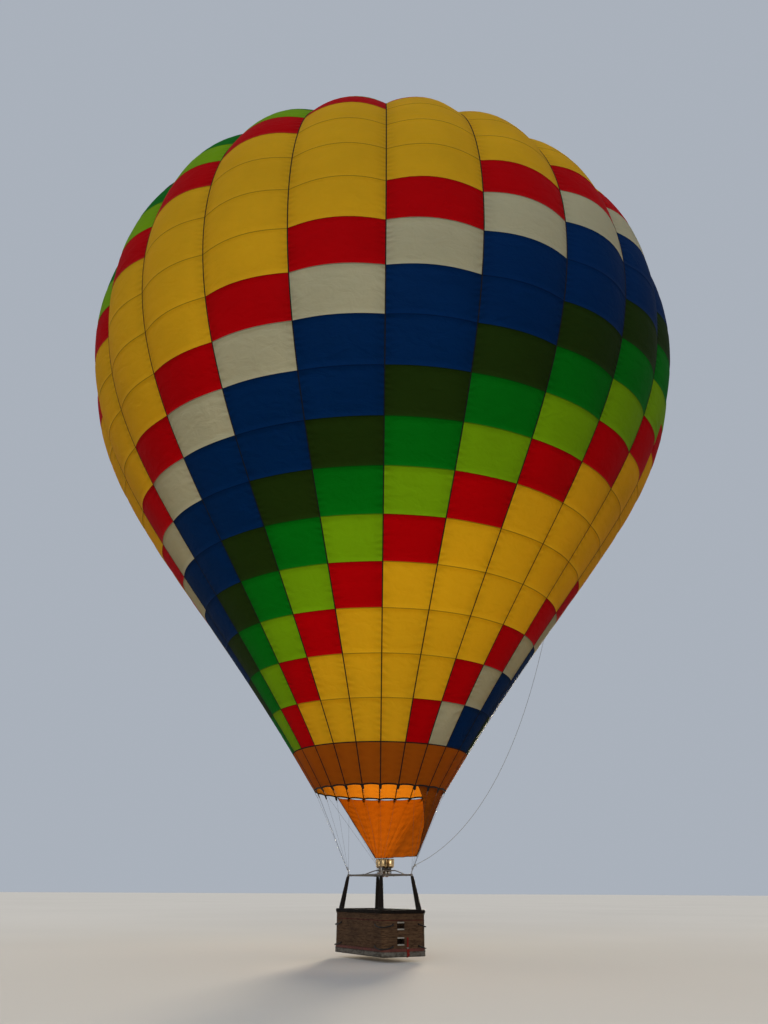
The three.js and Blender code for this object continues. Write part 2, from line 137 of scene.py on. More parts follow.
def frames(P, closed=False, up=None):
    """Tangent, normal and binormal along a line, carried without twist."""
    P = np.asarray(P, float)
    T = unit(np.roll(P, -1, 0) - np.roll(P, 1, 0)) if closed else unit(np.gradient(P, axis=0))
    n = np.array(up if up is not None else ((0, 0, 1) if abs(T[0][2]) < .9 else (1, 0, 0)), float)
    N = np.empty_like(P)
    n = unit(n - T[0] * (n @ T[0]))
    for i in range(len(P)):
        n = unit(n - T[i] * (n @ T[i])) if up is None else unit(np.array(up, float) - T[i] * (np.array(up, float) @ T[i]))
        N[i] = n
    if closed and up is None:
        end = unit(n - T[0] * (n @ T[0]))
        twist = math.atan2(np.cross(N[0], end) @ T[0], N[0] @ end)
        for i in range(len(P)):
            c, s = math.cos(-twist * i / len(P)), math.sin(-twist * i / len(P))
            N[i] = N[i] * c + np.cross(T[i], N[i]) * s
    return T, N, np.cross(T, N)


class Build:
    """Collects vertices and faces of one joined mesh."""

    def __init__(self):
        self.v, self.f, self.m, self.n = [], [], [], 0

    def put(self, verts, faces, mat=0):
        verts, faces = np.asarray(verts, float).reshape(-1, 3), np.asarray(faces, int)
        if not len(faces):
            return
        self.v.append(verts)
        self.f.append(faces + self.n)
        self.m.append(np.broadcast_to(np.asarray(mat, int), (len(faces),)))
        self.n += len(verts)

    def grid(self, P, mat=0, cu=False, cv=False, flip=False, keep=None):
        """Quads over P[v, u]. mat and keep may be arrays over the faces."""
        nv, nu = P.shape[:2]
        idx = np.arange(nv * nu).reshape(nv, nu)
        iu, iv = np.arange(nu if cu else nu - 1), np.arange(nv if cv else nv - 1)
        q = np.stack([idx[np.ix_(iv, iu)], idx[np.ix_(iv, (iu + 1) % nu)],
                      idx[np.ix_((iv + 1) % nv, (iu + 1) % nu)], idx[np.ix_((iv + 1) % nv, iu)]], -1)
        mats = np.broadcast_to(np.asarray(mat, int), q.shape[:2])
        if flip:
            q = q[..., ::-1]
        if keep is not None:
            q, mats = q[keep], mats[keep]
        self.put(P, q.reshape(-1, 4), mats.reshape(-1))

    def cap(self, loop, mat=0, flip=False):
        loop = np.asarray(loop, float)
        n = len(loop)
        tri = np.stack([np.full(n, n), np.arange(n), (np.arange(n) + 1) % n], -1)
        self.put(np.vstack([loop, loop.mean(0)]), tri[:, ::-1] if flip else tri, mat)

    def tube(self, P, r, sides=10, mat=0, caps=True, closed=False, up=None, flat=1.0):
        P = np.asarray(P, float)
        r = np.broadcast_to(np.asarray(r, float), (len(P),))
        T, N, B = frames(P, closed, up)
        a = np.arange(sides) * TAU / sides
        R = P[:, None] + r[:, None, None] * (np.cos(a)[None, :, None] * N[:, None] + flat * np.sin(a)[None, :, None] * B[:, None])
        self.grid(R, mat, cu=True, cv=closed)
        if caps and not closed:
            self.cap(R[0], mat, flip=True)
            self.cap(R[-1], mat)

    def section(self, P, shape, mat=0, closed=False, up=(0, 0, 1), caps=True):
        """A closed outline shape[(n, b)...] swept along P; n is along up, b across it."""
        P, shape = np.asarray(P, float), np.asarray(shape, float)
        T, N, B = frames(P, closed, up)
        R = P[:, None] + shape[None, :, 0, None] * N[:, None] + shape[None, :, 1, None] * B[:, None]
        self.grid(R, mat, cu=True, cv=closed)
        if caps and not closed:
            self.cap(R[0], mat, flip=True)
            self.cap(R[-1], mat)

    def lathe(self, prof, n=24, at=(0, 0, 0), axis=(0, 0, 1), mat=0):
        """A profile [(r, z)...] turned about axis; it runs upwards on the outside."""
        prof = np.asarray(prof, float)
        z = unit(axis)
        x = unit(np.cross((0, 1, 0) if abs(z[1]) < .9 else (1, 0, 0), z))
        y = np.cross(z, x)
        a = np.arange(n) * TAU / n
        R = (np.asarray(at, float) + prof[:, None, 0, None] * (np.cos(a)[None, :, None] * x + np.sin(a)[None, :, None] * y)
             + prof[:, None, 1, None] * z)
        lo, hi = prof[0, 0] < 1e-6, prof[-1, 0] < 1e-6
        body = R[(1 if lo else 0):(len(R) - 1 if hi else len(R))]
        self.grid(body, mat, cu=True)
        fan = np.arange(n)
        if lo:
            self.put(np.vstack([body[0], R[0][:1]]), np.stack([np.full(n, n), (fan + 1) % n, fan], -1), mat)
        if hi:
            self.put(np.vstack([body[-1], R[-1][:1]]), np.stack([np.full(n, n), fan, (fan + 1) % n], -1), mat)

    def block(self, at, size, r=.004, mat=0, turn=None, steps=2):
        """A box with rounded edges."""
        size = np.asarray(size, float) / 2
        inner = size - r
        t = np.unique(np.concatenate([np.linspace(-1, 1, 2)]))
        k = []
        for e in range(3):
            edge = np.sin(np.linspace(0, PI / 2, steps + 1))
            k.append(np.concatenate([-(inner[e] + r * edge[::-1]), inner[e] + r * edge]))
        V, F, n = [], [], 0
        for ax in range(3):
            b, c = [(1, 2), (2, 0), (0, 1)][ax]
            for s in (-1, 1):
                gb, gc = np.meshgrid(k[b], k[c], indexing="ij")
                p = np.zeros(gb.shape + (3,))
                p[..., ax], p[..., b], p[..., c] = s * size[ax], gb, gc
                core = np.clip(p, -inner, inner)
                d = p - core
                p = core + r * unit(d)
                m0, m1 = gb.shape
                idx = np.arange(m0 * m1).reshape(m0, m1) + n
                q = np.stack([idx[:-1, :-1], idx[1:, :-1], idx[1:, 1:], idx[:-1, 1:]], -1).reshape(-1, 4)
                V.append(p.reshape(-1, 3))
                F.append(q if s > 0 else q[:, ::-1])
                n += m0 * m1
        V, F = np.vstack(V), np.vstack(F)
        _, first, inv = np.unique(np.round(V, 6), axis=0, return_index=True, return_inverse=True)
        V, F = V[first], inv.reshape(-1)[F]
        keep = [len(set(f)) == 4 for f in F.tolist()]
        quads = F[keep]
        tris = np.array([list(dict.fromkeys(f)) for f in F.tolist() if len(set(f)) == 3], int).reshape(-1, 3)
        if turn is not None:
            V = V @ np.asarray(turn, float).T
        V = V + np.asarray(at, float)
        start = self.n
        self.put(V, quads, mat)
        if len(tris):
            self.f.append(tris + start)
            self.m.append(np.full(len(tris), mat))

    def torus(self, at, R, r, n=32, sides=10, axis=(0, 0, 1), mat=0):
        z = unit(axis)
        x = unit(np.cross((0, 1, 0) if abs(z[1]) < .9 else (1, 0, 0), z))
        y = np.cross(z, x)
        a = np.arange(n) * TAU / n
        self.tube(np.asarray(at, float) + R * (np.cos(a)[:, None] * x + np.sin(a)[:, None] * y), r, sides, mat, closed=True)

    def make(self, name, mats, body, sharp=35, replaces=(), smooth=True):
        me = bpy.data.meshes.new(name)
        V = np.concatenate(self.v)
        F = [tuple(f) for block in self.f for f in block.tolist()]
        me.from_pydata(V.tolist(), [], F)
        for m in mats:
            me.materials.append(m)
        me.polygons.foreach_set("material_index", np.concatenate(self.m).astype(np.int32))
        if smooth:
            me.shade_smooth()
            if sharp:
                me.set_sharp_from_angle(angle=math.radians(sharp))
        me.validate()
        me.update()
        o = bpy.data.objects.new(name, me)
        bpy.context.scene.collection.objects.link(o)
        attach(o, body)
        if replaces:
            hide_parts(*replaces)
        return o


def catmull(P, per=6, alpha=.5):
    """A centripetal curve through the points, per samples to each stretch."""
    P = np.asarray(P, float)
    Q = np.vstack([2 * P[0] - P[1], P, 2 * P[-1] - P[-2]])
    out = []
    for i in range(1, len(Q) - 2):
        p0, p1, p2, p3 = Q[i - 1:i + 3]
        t0 = 0.0
        t1 = t0 + np.linalg.norm(p1 - p0) ** alpha
        t2 = t1 + np.linalg.norm(p2 - p1) ** alpha
        t3 = t2 + np.linalg.norm(p3 - p2) ** alpha
        for t in np.linspace(t1, t2, per, endpoint=False):
            a1 = (t1 - t) / (t1 - t0) * p0 + (t - t0) / (t1 - t0) * p1
            a2 = (t2 - t) / (t2 - t1) * p1 + (t - t1) / (t2 - t1) * p2
            a3 = (t3 - t) / (t3 - t2) * p2 + (t - t2) / (t3 - t2) * p3
            b1 = (t2 - t) / (t2 - t0) * a1 + (t - t0) / (t2 - t0) * a2
            b2 = (t3 - t) / (t3 - t1) * a2 + (t - t1) / (t3 - t1) * a3
            out.append((t2 - t) / (t2 - t1) * b1 + (t - t1) / (t2 - t1) * b2)
    return np.array(out + [P[-1]])


def wobble(x, y, seed, n=5, low=.3, high=1.6):
    """Smooth random waves over x and y, about -1 to 1."""
    r = np.random.default_rng(seed)
    total = 0
    for _ in range(n):
        k, t, p = r.uniform(low, high), r.uniform(0, TAU), r.uniform(0, TAU)
        total = total + np.sin(TAU * k * (x * math.cos(t) + y * math.sin(t)) + p)
    return total / n


# ------------------------------------------------------------------ material helpers
class Nodes:
    def __init__(self, name):
        self.mat = bpy.data.materials.new(name)
        self.mat.use_nodes = True
        self.t = self.mat.node_tree
        self.t.nodes.clear()
        self.out = self.add("OutputMaterial")
        self.coord = self.add("TexCoord").outputs["Object"]

    def add(self, kind, **kw):
        n = self.t.nodes.new("ShaderNode" + kind)
        for k, v in kw.items():
            setattr(n, k, v)
        return n

    def set(self, socket, value):
        if isinstance(value, bpy.types.NodeSocket):
            self.t.links.new(value, socket)
        else:
            socket.default_value = value

    def math(self, op, a, b=0.0, c=0.0, clamp=False):
        n = self.add("Math", operation=op, use_clamp=clamp)
        for s, v in zip(n.inputs, (a, b, c)):
            self.set(s, v)
        return n.outputs[0]

    def range(self, x, a0, a1, b0, b1, smooth=False):
        n = self.add("MapRange", interpolation_type="SMOOTHSTEP" if smooth else "LINEAR")
        for s, v in zip(n.inputs, (x, a0, a1, b0, b1)):
            self.set(s, v)
        return n.outputs[0]

    def scaled(self, vec, s):
        n = self.add("Mapping")
        self.set(n.inputs["Vector"], vec)
        n.inputs["Scale"].default_value = s
        return n.outputs[0]

    def noise(self, scale, detail=3, rough=.5, vec=None, stretch=None, distortion=0.0):
        v = vec if vec is not None else self.coord
        if stretch:
            v = self.scaled(v, stretch)
        n = self.add("TexNoise")
        self.set(n.inputs["Vector"], v)
        n.inputs["Scale"].default_value = scale
        n.inputs["Detail"].default_value = detail
        n.inputs["Roughness"].default_value = rough
        n.inputs["Distortion"].default_value = distortion
        return n.outputs[0]

    def mix(self, fac, a, b, blend="MIX"):
        n = self.add("Mix", data_type="RGBA", blend_type=blend)
        self.set(n.inputs[0], fac)
        self.set(n.inputs[6], a if isinstance(a, bpy.types.NodeSocket) else (*a, 1))
        self.set(n.inputs[7], b if isinstance(b, bpy.types.NodeSocket) else (*b, 1))
        return n.outputs[2]

    def grey(self, x):
        n = self.add("CombineColor")
        for s in n.inputs:
            self.set(s, x)
        return n.outputs[0]

    def xyz(self, vec=None):
        n = self.add("SeparateXYZ")
        self.set(n.inputs[0], vec if vec is not None else self.coord)
        return n.outputs

    def bump(self, height, strength=.5, distance=.01):
        n = self.add("Bump")
        n.inputs["Strength"].default_value = strength
        n.inputs["Distance"].default_value = distance
        self.set(n.inputs["Height"], height)
        return n.outputs[0]

    def principled(self, color, rough=.5, metal=0.0, normal=None, sheen=0.0, coat=0.0, spec=.5, sub=0.0):
        n = self.add("BsdfPrincipled")
        self.set(n.inputs["Base Color"], color if isinstance(color, bpy.types.NodeSocket) else (*color, 1))
        self.set(n.inputs["Roughness"], rough)
        n.inputs["Metallic"].default_value = metal
        n.inputs["Sheen Weight"].default_value = sheen
        n.inputs["Coat Weight"].default_value = coat
        n.inputs["Specular IOR Level"].default_value = spec
        if normal is not None:
            self.set(n.inputs["Normal"], normal)
        return n

    def done(self, shader):
        self.t.links.new(shader.outputs[0] if hasattr(shader, "outputs") else shader, self.out.inputs["Surface"])
        return self.mat


def lin(*rgb):
    """A colour given as 0-255 display values."""
    return tuple(((c / 255) / 12.92) if c / 255 <= .04045 else (((c / 255) + .055) / 1.055) ** 2.4 for c in rgb)


def shade(rgb, k):
    return tuple(c * k for c in rgb)


def cloth(name, rgb, through, share=.45, rough=.66, wrinkle=1.0, spec=.03):
    """Coated balloon cloth: rgb is its colour in reflected light, through in light that passes."""
    n = Nodes(name)
    x, y, z = n.xyz()
    # distance to the nearest load tape, from the angle round the axis
    angle = n.math("ARCTAN2", x, n.math("MULTIPLY", y, -1))
    turn = n.math("MULTIPLY_ADD", angle, GORES / TAU, .5 + GORES)
    off = n.math("ABSOLUTE", n.math("SUBTRACT", n.math("FRACT", turn), .5))
    radius = n.math("SQRT", n.math("ADD", n.math("MULTIPLY", x, x), n.math("MULTIPLY", y, y)))
    away = n.math("MULTIPLY", n.math("MULTIPLY", off, TAU / GORES), radius)
    near = n.range(away, .01, .38, 1, 0, smooth=True)
    soft = n.noise(.55, 3, .55)
    fine = n.noise(9, 3, .6)
    tone = n.math("MULTIPLY", n.range(soft, .3, .7, .93, 1.05), n.range(fine, .25, .75, .985, 1.015))
    # painted shade: the cloth colour is darkened towards each load tape
    tone = n.math("MULTIPLY", tone, n.range(near, 0, 1, 1, .90))
    wave = n.math("SINE", n.math("MULTIPLY_ADD", z, 34, n.math("MULTIPLY", n.noise(.9, 2, .5), 26)))
    pucker = n.math("MULTIPLY", wave, n.math("MULTIPLY", near, near))
    # painted shade and highlight: the colour rises and falls with the puckers along the tapes
    tone = n.math("MULTIPLY", tone, n.range(pucker, -1, 1, .93, 1.05))
    front = n.mix(1.0, rgb, n.grey(tone), "MULTIPLY")
    back = n.mix(1.0, through, n.grey(tone), "MULTIPLY")
    # puckers that run off the tapes, soft creases between them and the weave itself
    crease = n.noise(2.2, 4, .55, stretch=(1, 1, 1.7), distortion=.6)
    weave = n.noise(160, 1, .5)
    height = n.math("MULTIPLY_ADD", pucker, .006 * wrinkle, n.math("MULTIPLY_ADD", crease, .035 * wrinkle, n.math("MULTIPLY", weave, .0012)))
    normal = n.bump(height, .9, 1.0)
    face = n.principled(front, n.range(fine, .2, .8, rough - .05, rough + .07), normal=normal, spec=spec, sheen=.015)
    trans = n.add("BsdfTranslucent")
    n.set(trans.inputs["Color"], back)
    n.set(trans.inputs["Normal"], normal)
    m = n.add("MixShader")
    m.inputs[0].default_value = share
    n.t.links.new(face.outputs[0], m.inputs[1])
    n.t.links.new(trans.outputs[0], m.inputs[2])
    return n.done(m)


# ------------------------------------------------------------------ materials
# Envelope colours: name, colour in reflected light, colour of the light that passes.
CLOTH_TABLE = [
    ("yellow", (.56, .41, .017), (.84, .465, .0)),
    ("red", (.38, .0, .003), (.48, .0, .001)),
    ("lime", (.15, .36, .004), (.16, .38, .003)),
    ("green", (.001, .145, .008), (.001, .17, .004)),
    ("darkgreen", (.012, .034, .004), (.012, .028, .001)),
    ("blue", (.0, .022, .114), (.0, .012, .045)),
    ("cream", (.40, .44, .34), (.41, .40, .25)),
]
REPEAT = ["yellow", "yellow", "yellow", "yellow", "red", "lime", "green", "darkgreen", "blue", "blue", "cream", "red"]
CLOTH, SEAM = {}, {}
for name_, rgb_, thr_ in CLOTH_TABLE:
    CLOTH[name_] = cloth("cloth_" + name_, rgb_, thr_, share=.52 if name_ == "yellow" else .45)
    SEAM[name_] = cloth("seam_" + name_, shade(rgb_, .55), shade(thr_, .30), wrinkle=.3)
NOMEX = cloth("heatproof_cloth", (.13, .050, .004), (.57, .168, .006), share=.48, rough=.8, wrinkle=.6, spec=.06)
SCOOP = cloth("scoop_cloth", (.14, .062, .004), (.31, .060, .001), share=.5, rough=.8, wrinkle=.8, spec=.05)


def webbing(name, rgb, rough=.75, spec=.15, sheen=.03):
    n = Nodes(name)
    rib = n.math("SINE", n.math("MULTIPLY", n.xyz()[2], 900))
    tone = n.range(n.noise(14, 3, .6), .3, .7, .75, 1.25)
    c = n.mix(1.0, rgb, n.grey(tone), "MULTIPLY")
    return n.done(n.principled(c, rough, normal=n.bump(n.math("MULTIPLY_ADD", rib, .25, n.noise(300, 2)), .35, .001), sheen=sheen, spec=spec))


def leather(name, rgb, rough=.5, worn=(.045, .032, .024), scale=70, spec=.2):
    n = Nodes(name)
    v = n.add("TexVoronoi", feature="DISTANCE_TO_EDGE")
    n.set(v.inputs["Vector"], n.coord)
    v.inputs["Scale"].default_value = scale
    cell = n.range(v.outputs["Distance"], 0, .12, 0, 1)
    large = n.noise(3.5, 4, .6)
    wear = n.range(n.noise(11, 5, .65), .55, .75, 0, .55, smooth=True)
    c = n.mix(n.math("MULTIPLY", wear, large), n.mix(1.0, rgb, n.grey(n.range(large, .25, .75, .7, 1.35)), "MULTIPLY"), worn)
    h = n.math("MULTIPLY_ADD", cell, .5, n.math("MULTIPLY", n.noise(26, 4, .6), 1.4))
    return n.done(n.principled(c, n.range(n.noise(16, 3), .3, .7, rough - .1, rough + .15), normal=n.bump(h, .45, .003), spec=spec))


def stained(name, rgb, dark, pale):
    """Raw hide, weathered in patches, with painted shade along its lower edge."""
    n = Nodes(name)
    x, y, z = n.xyz()
    patch = n.noise(4.2, 5, .65, stretch=(1, 1, 1.8), distortion=.8)
    spots = n.noise(19, 4, .6)
    c = n.mix(n.range(patch, .42, .62, 0, .9, smooth=True), rgb, dark)
    c = n.mix(n.range(spots, .52, .70, 0, .6, smooth=True), c, pale)
    # painted shade: a dark band along the lower edge of the hide
    c = n.mix(n.range(z, zh(.028), zh(.048), .85, 0, smooth=True), c, shade(dark, .45))
    h = n.math("MULTIPLY_ADD", patch, .8, n.noise(60, 4, .6))
    return n.done(n.principled(c, n.range(spots, .3, .7, .6, .85), normal=n.bump(h, .5, .003), spec=.2))


def metal(name, rgb, rough=.35, metallic=1.0, scratch=1.0, dirt=.25, dirt_rgb=(.05, .04, .03)):
    n = Nodes(name)
    brushed = n.noise(40, 3, .6, stretch=(1, 1, .08))
    spots = n.range(n.noise(7, 5, .6), .45, .75, 0, 1, smooth=True)
    c = n.mix(n.math("MULTIPLY", spots, dirt), n.mix(1.0, rgb, n.grey(n.range(brushed, .3, .7, .88, 1.1)), "MULTIPLY"), dirt_rgb)
    r = n.math("ADD", n.range(brushed, .3, .7, rough - .06, rough + .1), n.math("MULTIPLY", spots, .15))
    return n.done(n.principled(c, r, metallic, normal=n.bump(n.noise(220, 2, .5), .12 * scratch, .0006)))


def heat_stains_and_painted_reflection(name, rgb, dark, rough):
    """Bright steel with dark vertical streaks, partly heat stains left by the flame and partly painted reflection."""
    n = Nodes(name)
    x, y, z = n.xyz()
    streak = n.noise(24, 3, .6, stretch=(1, 1, .06))
    blotch = n.noise(9, 4, .6)
    # painted reflection as well as heat stains: dark vertical streaks down the steel
    c = n.mix(n.range(streak, .46, .60, 0, .9, smooth=True), rgb, dark)
    c = n.mix(n.range(blotch, .52, .75, 0, .55, smooth=True), c, shade(dark, .5))
    c = n.mix(n.range(z, zh(2.262), zh(2.302), 0, .6, smooth=True), c, shade(dark, .8))
    r = n.math("ADD", n.range(blotch, .3, .7, rough - .04, rough + .12), n.math("MULTIPLY", streak, .15))
    return n.done(n.principled(c, r, 1.0, normal=n.bump(n.noise(220, 2, .5), .12, .0006)))


def wood(name, rgb, dark, grain=(1, .09, 1), rough=.6):
    n = Nodes(name)
    v = n.scaled(n.coord, grain)
    rings = n.noise(22, 5, .62, vec=v, distortion=1.2)
    streak = n.noise(120, 2, .5, vec=v)
    c = n.mix(n.range(rings, .35, .65, 0, 1, smooth=True), rgb, dark)
    c = n.mix(n.range(n.noise(3, 4, .6), .5, .8, 0, .5), c, shade(dark, .6))
    h = n.math("MULTIPLY_ADD", rings, .6, streak)
    return n.done(n.principled(c, n.range(streak, .3, .7, rough - .08, rough + .12), normal=n.bump(h, .4, .002), spec=.35))


def cane(name, rgb, dark, light):
    """Willow cane: colour changes from cane to cane and along each one."""
    n = Nodes(name)
    x, y, z = n.xyz()
    row = n.noise(85, 1, .4, stretch=(.012, .012, 1))
    along = n.noise(7, 4, .6, stretch=(1, 1, 5))
    fibre = n.noise(420, 2, .5, stretch=(.05, .05, 1))
    c = n.mix(n.range(row, .38, .62, 0, 1, smooth=True), rgb, light)
    c = n.mix(n.range(along, .40, .68, 0, .85, smooth=True), c, dark)
    c = n.mix(n.range(n.noise(1.6, 3, .5), .45, .7, 0, .35), c, shade(dark, .7))
    h = n.math("MULTIPLY_ADD", fibre, .6, n.noise(90, 3, .5))
    return n.done(n.principled(c, n.range(along, .3, .7, .62, .8), normal=n.bump(h, .3, .0015), spec=.14))


def rope_mat(name, rgb, pitch=70):
    n = Nodes(name)
    x, y, z = n.xyz()
    s = n.math("ADD", n.math("ADD", n.math("MULTIPLY", x, 1.0), n.math("MULTIPLY", y, .8)), n.math("MULTIPLY", z, 1.1))
    lay = n.math("SINE", n.math("MULTIPLY", s, pitch * TAU / 2))
    # painted shade: the colour darkens in the grooves between the strands
    c = n.mix(n.range(lay, -1, 1, 0, 1), shade(rgb, .62), rgb)
    c = n.mix(n.range(n.noise(5, 4), .5, .75, 0, .5), c, shade(rgb, .45))
    return n.done(n.principled(c, .85, normal=n.bump(n.math("MULTIPLY_ADD", lay, .8, n.noise(500, 2)), .6, .0015), sheen=.1, spec=.25))


BLACK_WEB = webbing("tape_webbing", (.012, .011, .010), .85, .05, .0)
EDGE_WEB = webbing("mouth_webbing", (.010, .007, .005))
RED_WEB = webbing("red_strap", (.15, .009, .005), .65)
DARK_WEB = webbing("dark_strap", (.02, .018, .016))
CABLE = metal("steel_wire", (.060, .050, .040), .55, .3)
STEEL = metal("frame_steel", (.20, .18, .16), .38, dirt=.5, dirt_rgb=(.06, .035, .02))
ALLOY = metal("alloy", (.46, .46, .47), .34)
SOOTED_ALLOY = metal("sooted_alloy", (.16, .145, .125), .42, dirt=.6)
BRASS = metal("brass", (.40, .26, .09), .36, dirt=.45)
STAINLESS = metal("stainless", (.58, .47, .31), .24, dirt=.35, dirt_rgb=(.16, .11, .06))
HEATED = metal("heated_steel", (.34, .27, .20), .38, dirt=.6, dirt_rgb=(.07, .05, .06))
SOOT = metal("sooted_steel", (.035, .030, .026), .6, .6, dirt=.5)
# painted reflection: the can steel is tinted orange like a warm sunset sky reflected in it
CAN_STEEL_PAINTED_REFLECTION = heat_stains_and_painted_reflection("can_steel_painted_reflection", (.66, .47, .24), (.060, .038, .022), .22)
BLOCK_BRASS = metal("aged_brass", (.095, .060, .030), .42, dirt=.6)
LEATHER = leather("black_leather", (.0060, .0040, .0030), .62, worn=(.022, .014, .010), spec=.05)
SLEEVE = leather("sleeve_leather", (.0085, .0058, .0042), .6, worn=(.022, .014, .010), scale=55, spec=.07)
HIDE_GREY = stained("hide_band", (.105, .095, .080), (.032, .024, .018), (.17, .15, .12))
HIDE_RED = leather("hide_red", (.078, .016, .009), .6, worn=(.08, .04, .025), scale=45, spec=.35)
PALE_HIDE = leather("pale_hide", (.26, .235, .20), .62, worn=(.12, .10, .08), scale=60, spec=.35)
CANE = cane("wicker", (.076, .041, .021), (.034, .017, .009), (.114, .061, .030))
# painted shade: the sheet inside the wall is coloured far darker than the cane
SHADED_CANE_CORE = cane("wicker_core_painted_shade", (.022, .011, .006), (.012, .006, .004), (.03, .016, .009))
CANE_RED = cane("wicker_red", (.075, .014, .009), (.025, .008, .006), (.10, .022, .012))
CANE_IN = cane("wicker_inside", (.085, .044, .022), (.03, .017, .009), (.13, .07, .034))
PLY = wood("plywood", (.36, .22, .11), (.20, .11, .05), grain=(1, .12, 1))
RUNNER = wood("runner_wood", (.14, .085, .045), (.055, .032, .018), grain=(1, .06, 1), rough=.7)
ROPE = rope_mat("rope", (.36, .33, .27))
DARK_ROPE = rope_mat("handle_rope", (.010, .0075, .006), 45)
RUBBER = leather("rubber", (.010, .010, .011), .6, worn=(.03, .03, .03), scale=120)
JACKET = webbing("cylinder_jacket", (.014, .016, .030), .8)


def plain_dial(name):
    n = Nodes(name)
    c = n.mix(n.range(n.noise(40, 2), .3, .7, 0, .2), (.72, .71, .66), (.5, .48, .42))
    return n.done(n.principled(c, .3, coat=.6))


DIAL = plain_dial("dial_face")

# ------------------------------------------------------------------ crown line, the one loose rope
A_LINE, LEAVES, R_LINE, PROUD = 97.26, 9.86, .006, .014
g_line = int(A_LINE // 15)
u_line = (A_LINE - 15 * g_line) / 7.5 - 1
top_z = float(ring(CROWN_B)[1]) + .024
pts = [np.array([.190 * .9 * math.sin(math.radians(A_LINE)), -.190 * .9 * math.cos(math.radians(A_LINE)), top_z + R_LINE + .008])]
b_ = 22.55
while b_ > LEAVES + .2:
    o_ = .046 - (22.55 - b_) * .012 if b_ > 20.6 else PROUD
    pts.append(on_tape(b_, A_LINE, o_ + R_LINE + float(bulge(b_)) * (1 - u_line ** 2)))
    b_ -= .55
e_ = on_tape(LEAVES, A_LINE, PROUD + R_LINE + float(bulge(LEAVES)) * (1 - u_line ** 2))
f_ = np.array([.526, -1.007, zh(2.146)])
d_, h_ = math.hypot(e_[0] - f_[0], e_[1] - f_[1]), e_[2] - f_[2]
S_ = 1.034 * math.hypot(d_, h_)
k_ = math.sqrt(S_ * S_ - h_ * h_) / d_
lo_, hi_ = 1e-6, 30.0
for _ in range(80):
    m_ = (lo_ + hi_) / 2
    lo_, hi_ = (m_, hi_) if math.sinh(m_) / m_ < k_ else (lo_, m_)
a_ = d_ / (lo_ + hi_)
x0_ = .5 * (d_ - a_ * math.log((S_ + h_) / (S_ - h_)))
y0_ = f_[2] - a_ * math.cosh(-x0_ / a_)
for i in range(31):
    t_ = d_ * (1 - i / 30) ** 1.35
    pts.append(np.array([f_[0] + (e_[0] - f_[0]) * t_ / d_, f_[1] + (e_[1] - f_[1]) * t_ / d_, a_ * math.cosh((t_ - x0_) / a_) + y0_]))
LINE = catmull(pts, 5)
m = Build()
m.tube(LINE, R_LINE, 10)
crown_line = m.make("crown_rope", [ROPE], "airframe", replaces=["crown_line"])
m = Build()
for k in range(3):
    t = np.linspace(0, TAU, 20)[:-1]
    c = LINE[-1] + np.array([0, 0, .012 - .011 * k])
    m.tube(c + np.stack([.013 * np.cos(t), .012 * np.sin(t), .005 * np.sin(t + k)], -1), .0058, 8, closed=True)
foot_ = np.array([FRAME_W / 2, -FRAME_L / 2, zh(FRAME_H + .075)])
hook = foot_ + .088 * unit(np.mean([on_tape(-1, 15.0 * j, -.012) for j in range(6)], 0) - foot_)
pull = unit(hook - LINE[-1])
side_ = unit(np.cross(pull, (0, 0, 1)))
t = np.linspace(0, TAU, 25)[:-1]
span = np.linalg.norm(hook - LINE[-1])
m.tube(LINE[-1] + (.5 + .5 * np.cos(t))[:, None] * span * pull + (.009 * np.sin(t) * (1.2 - .5 * np.cos(t)))[:, None] * side_, .0048, 8, closed=True)
m.tube([LINE[-1], LINE[-1] + .03 * side_ + np.array([0, 0, -.02]), LINE[-1] + .036 * side_ + np.array([0, 0, -.055])], [.006, .006, .0052], 8)
knot = m.make("crown_rope_knot", [ROPE], "airframe")

# ------------------------------------------------------------------ envelope gores
SUB, COLS = 8, 14
E_SEAM = .0105 / PANEL
b_rows, kind_rows = [0.0], []          # kind: panel number, or -1 - panel number for the seam above it
for k in range(VENT_B):
    lo, hi = k + (E_SEAM if k else 0), k + 1 - (E_SEAM if k < VENT_B - 1 else 0)
    for i in range(1, SUB + 1):
        b_rows.append(lo + (hi - lo) * i / SUB)
        kind_rows.append(k)
    if k < VENT_B - 1:
        for s in (-.7, .7, 1.0):
            b_rows.append(k + 1 + s * E_SEAM)
            kind_rows.append(-1 - k)
b_rows, kind_rows = np.array(b_rows), np.array(kind_rows)
raised = np.zeros(len(b_rows))
near_int = np.abs(b_rows - np.round(b_rows))
raised[(near_int < .75 * E_SEAM) & (b_rows > .5) & (b_rows < VENT_B - .5)] = .003
U = np.sin(np.linspace(-PI / 2, PI / 2, COLS + 1))
U = .55 * U + .45 * np.linspace(-1, 1, COLS + 1)
colour_names = [c[0] for c in CLOTH_TABLE]
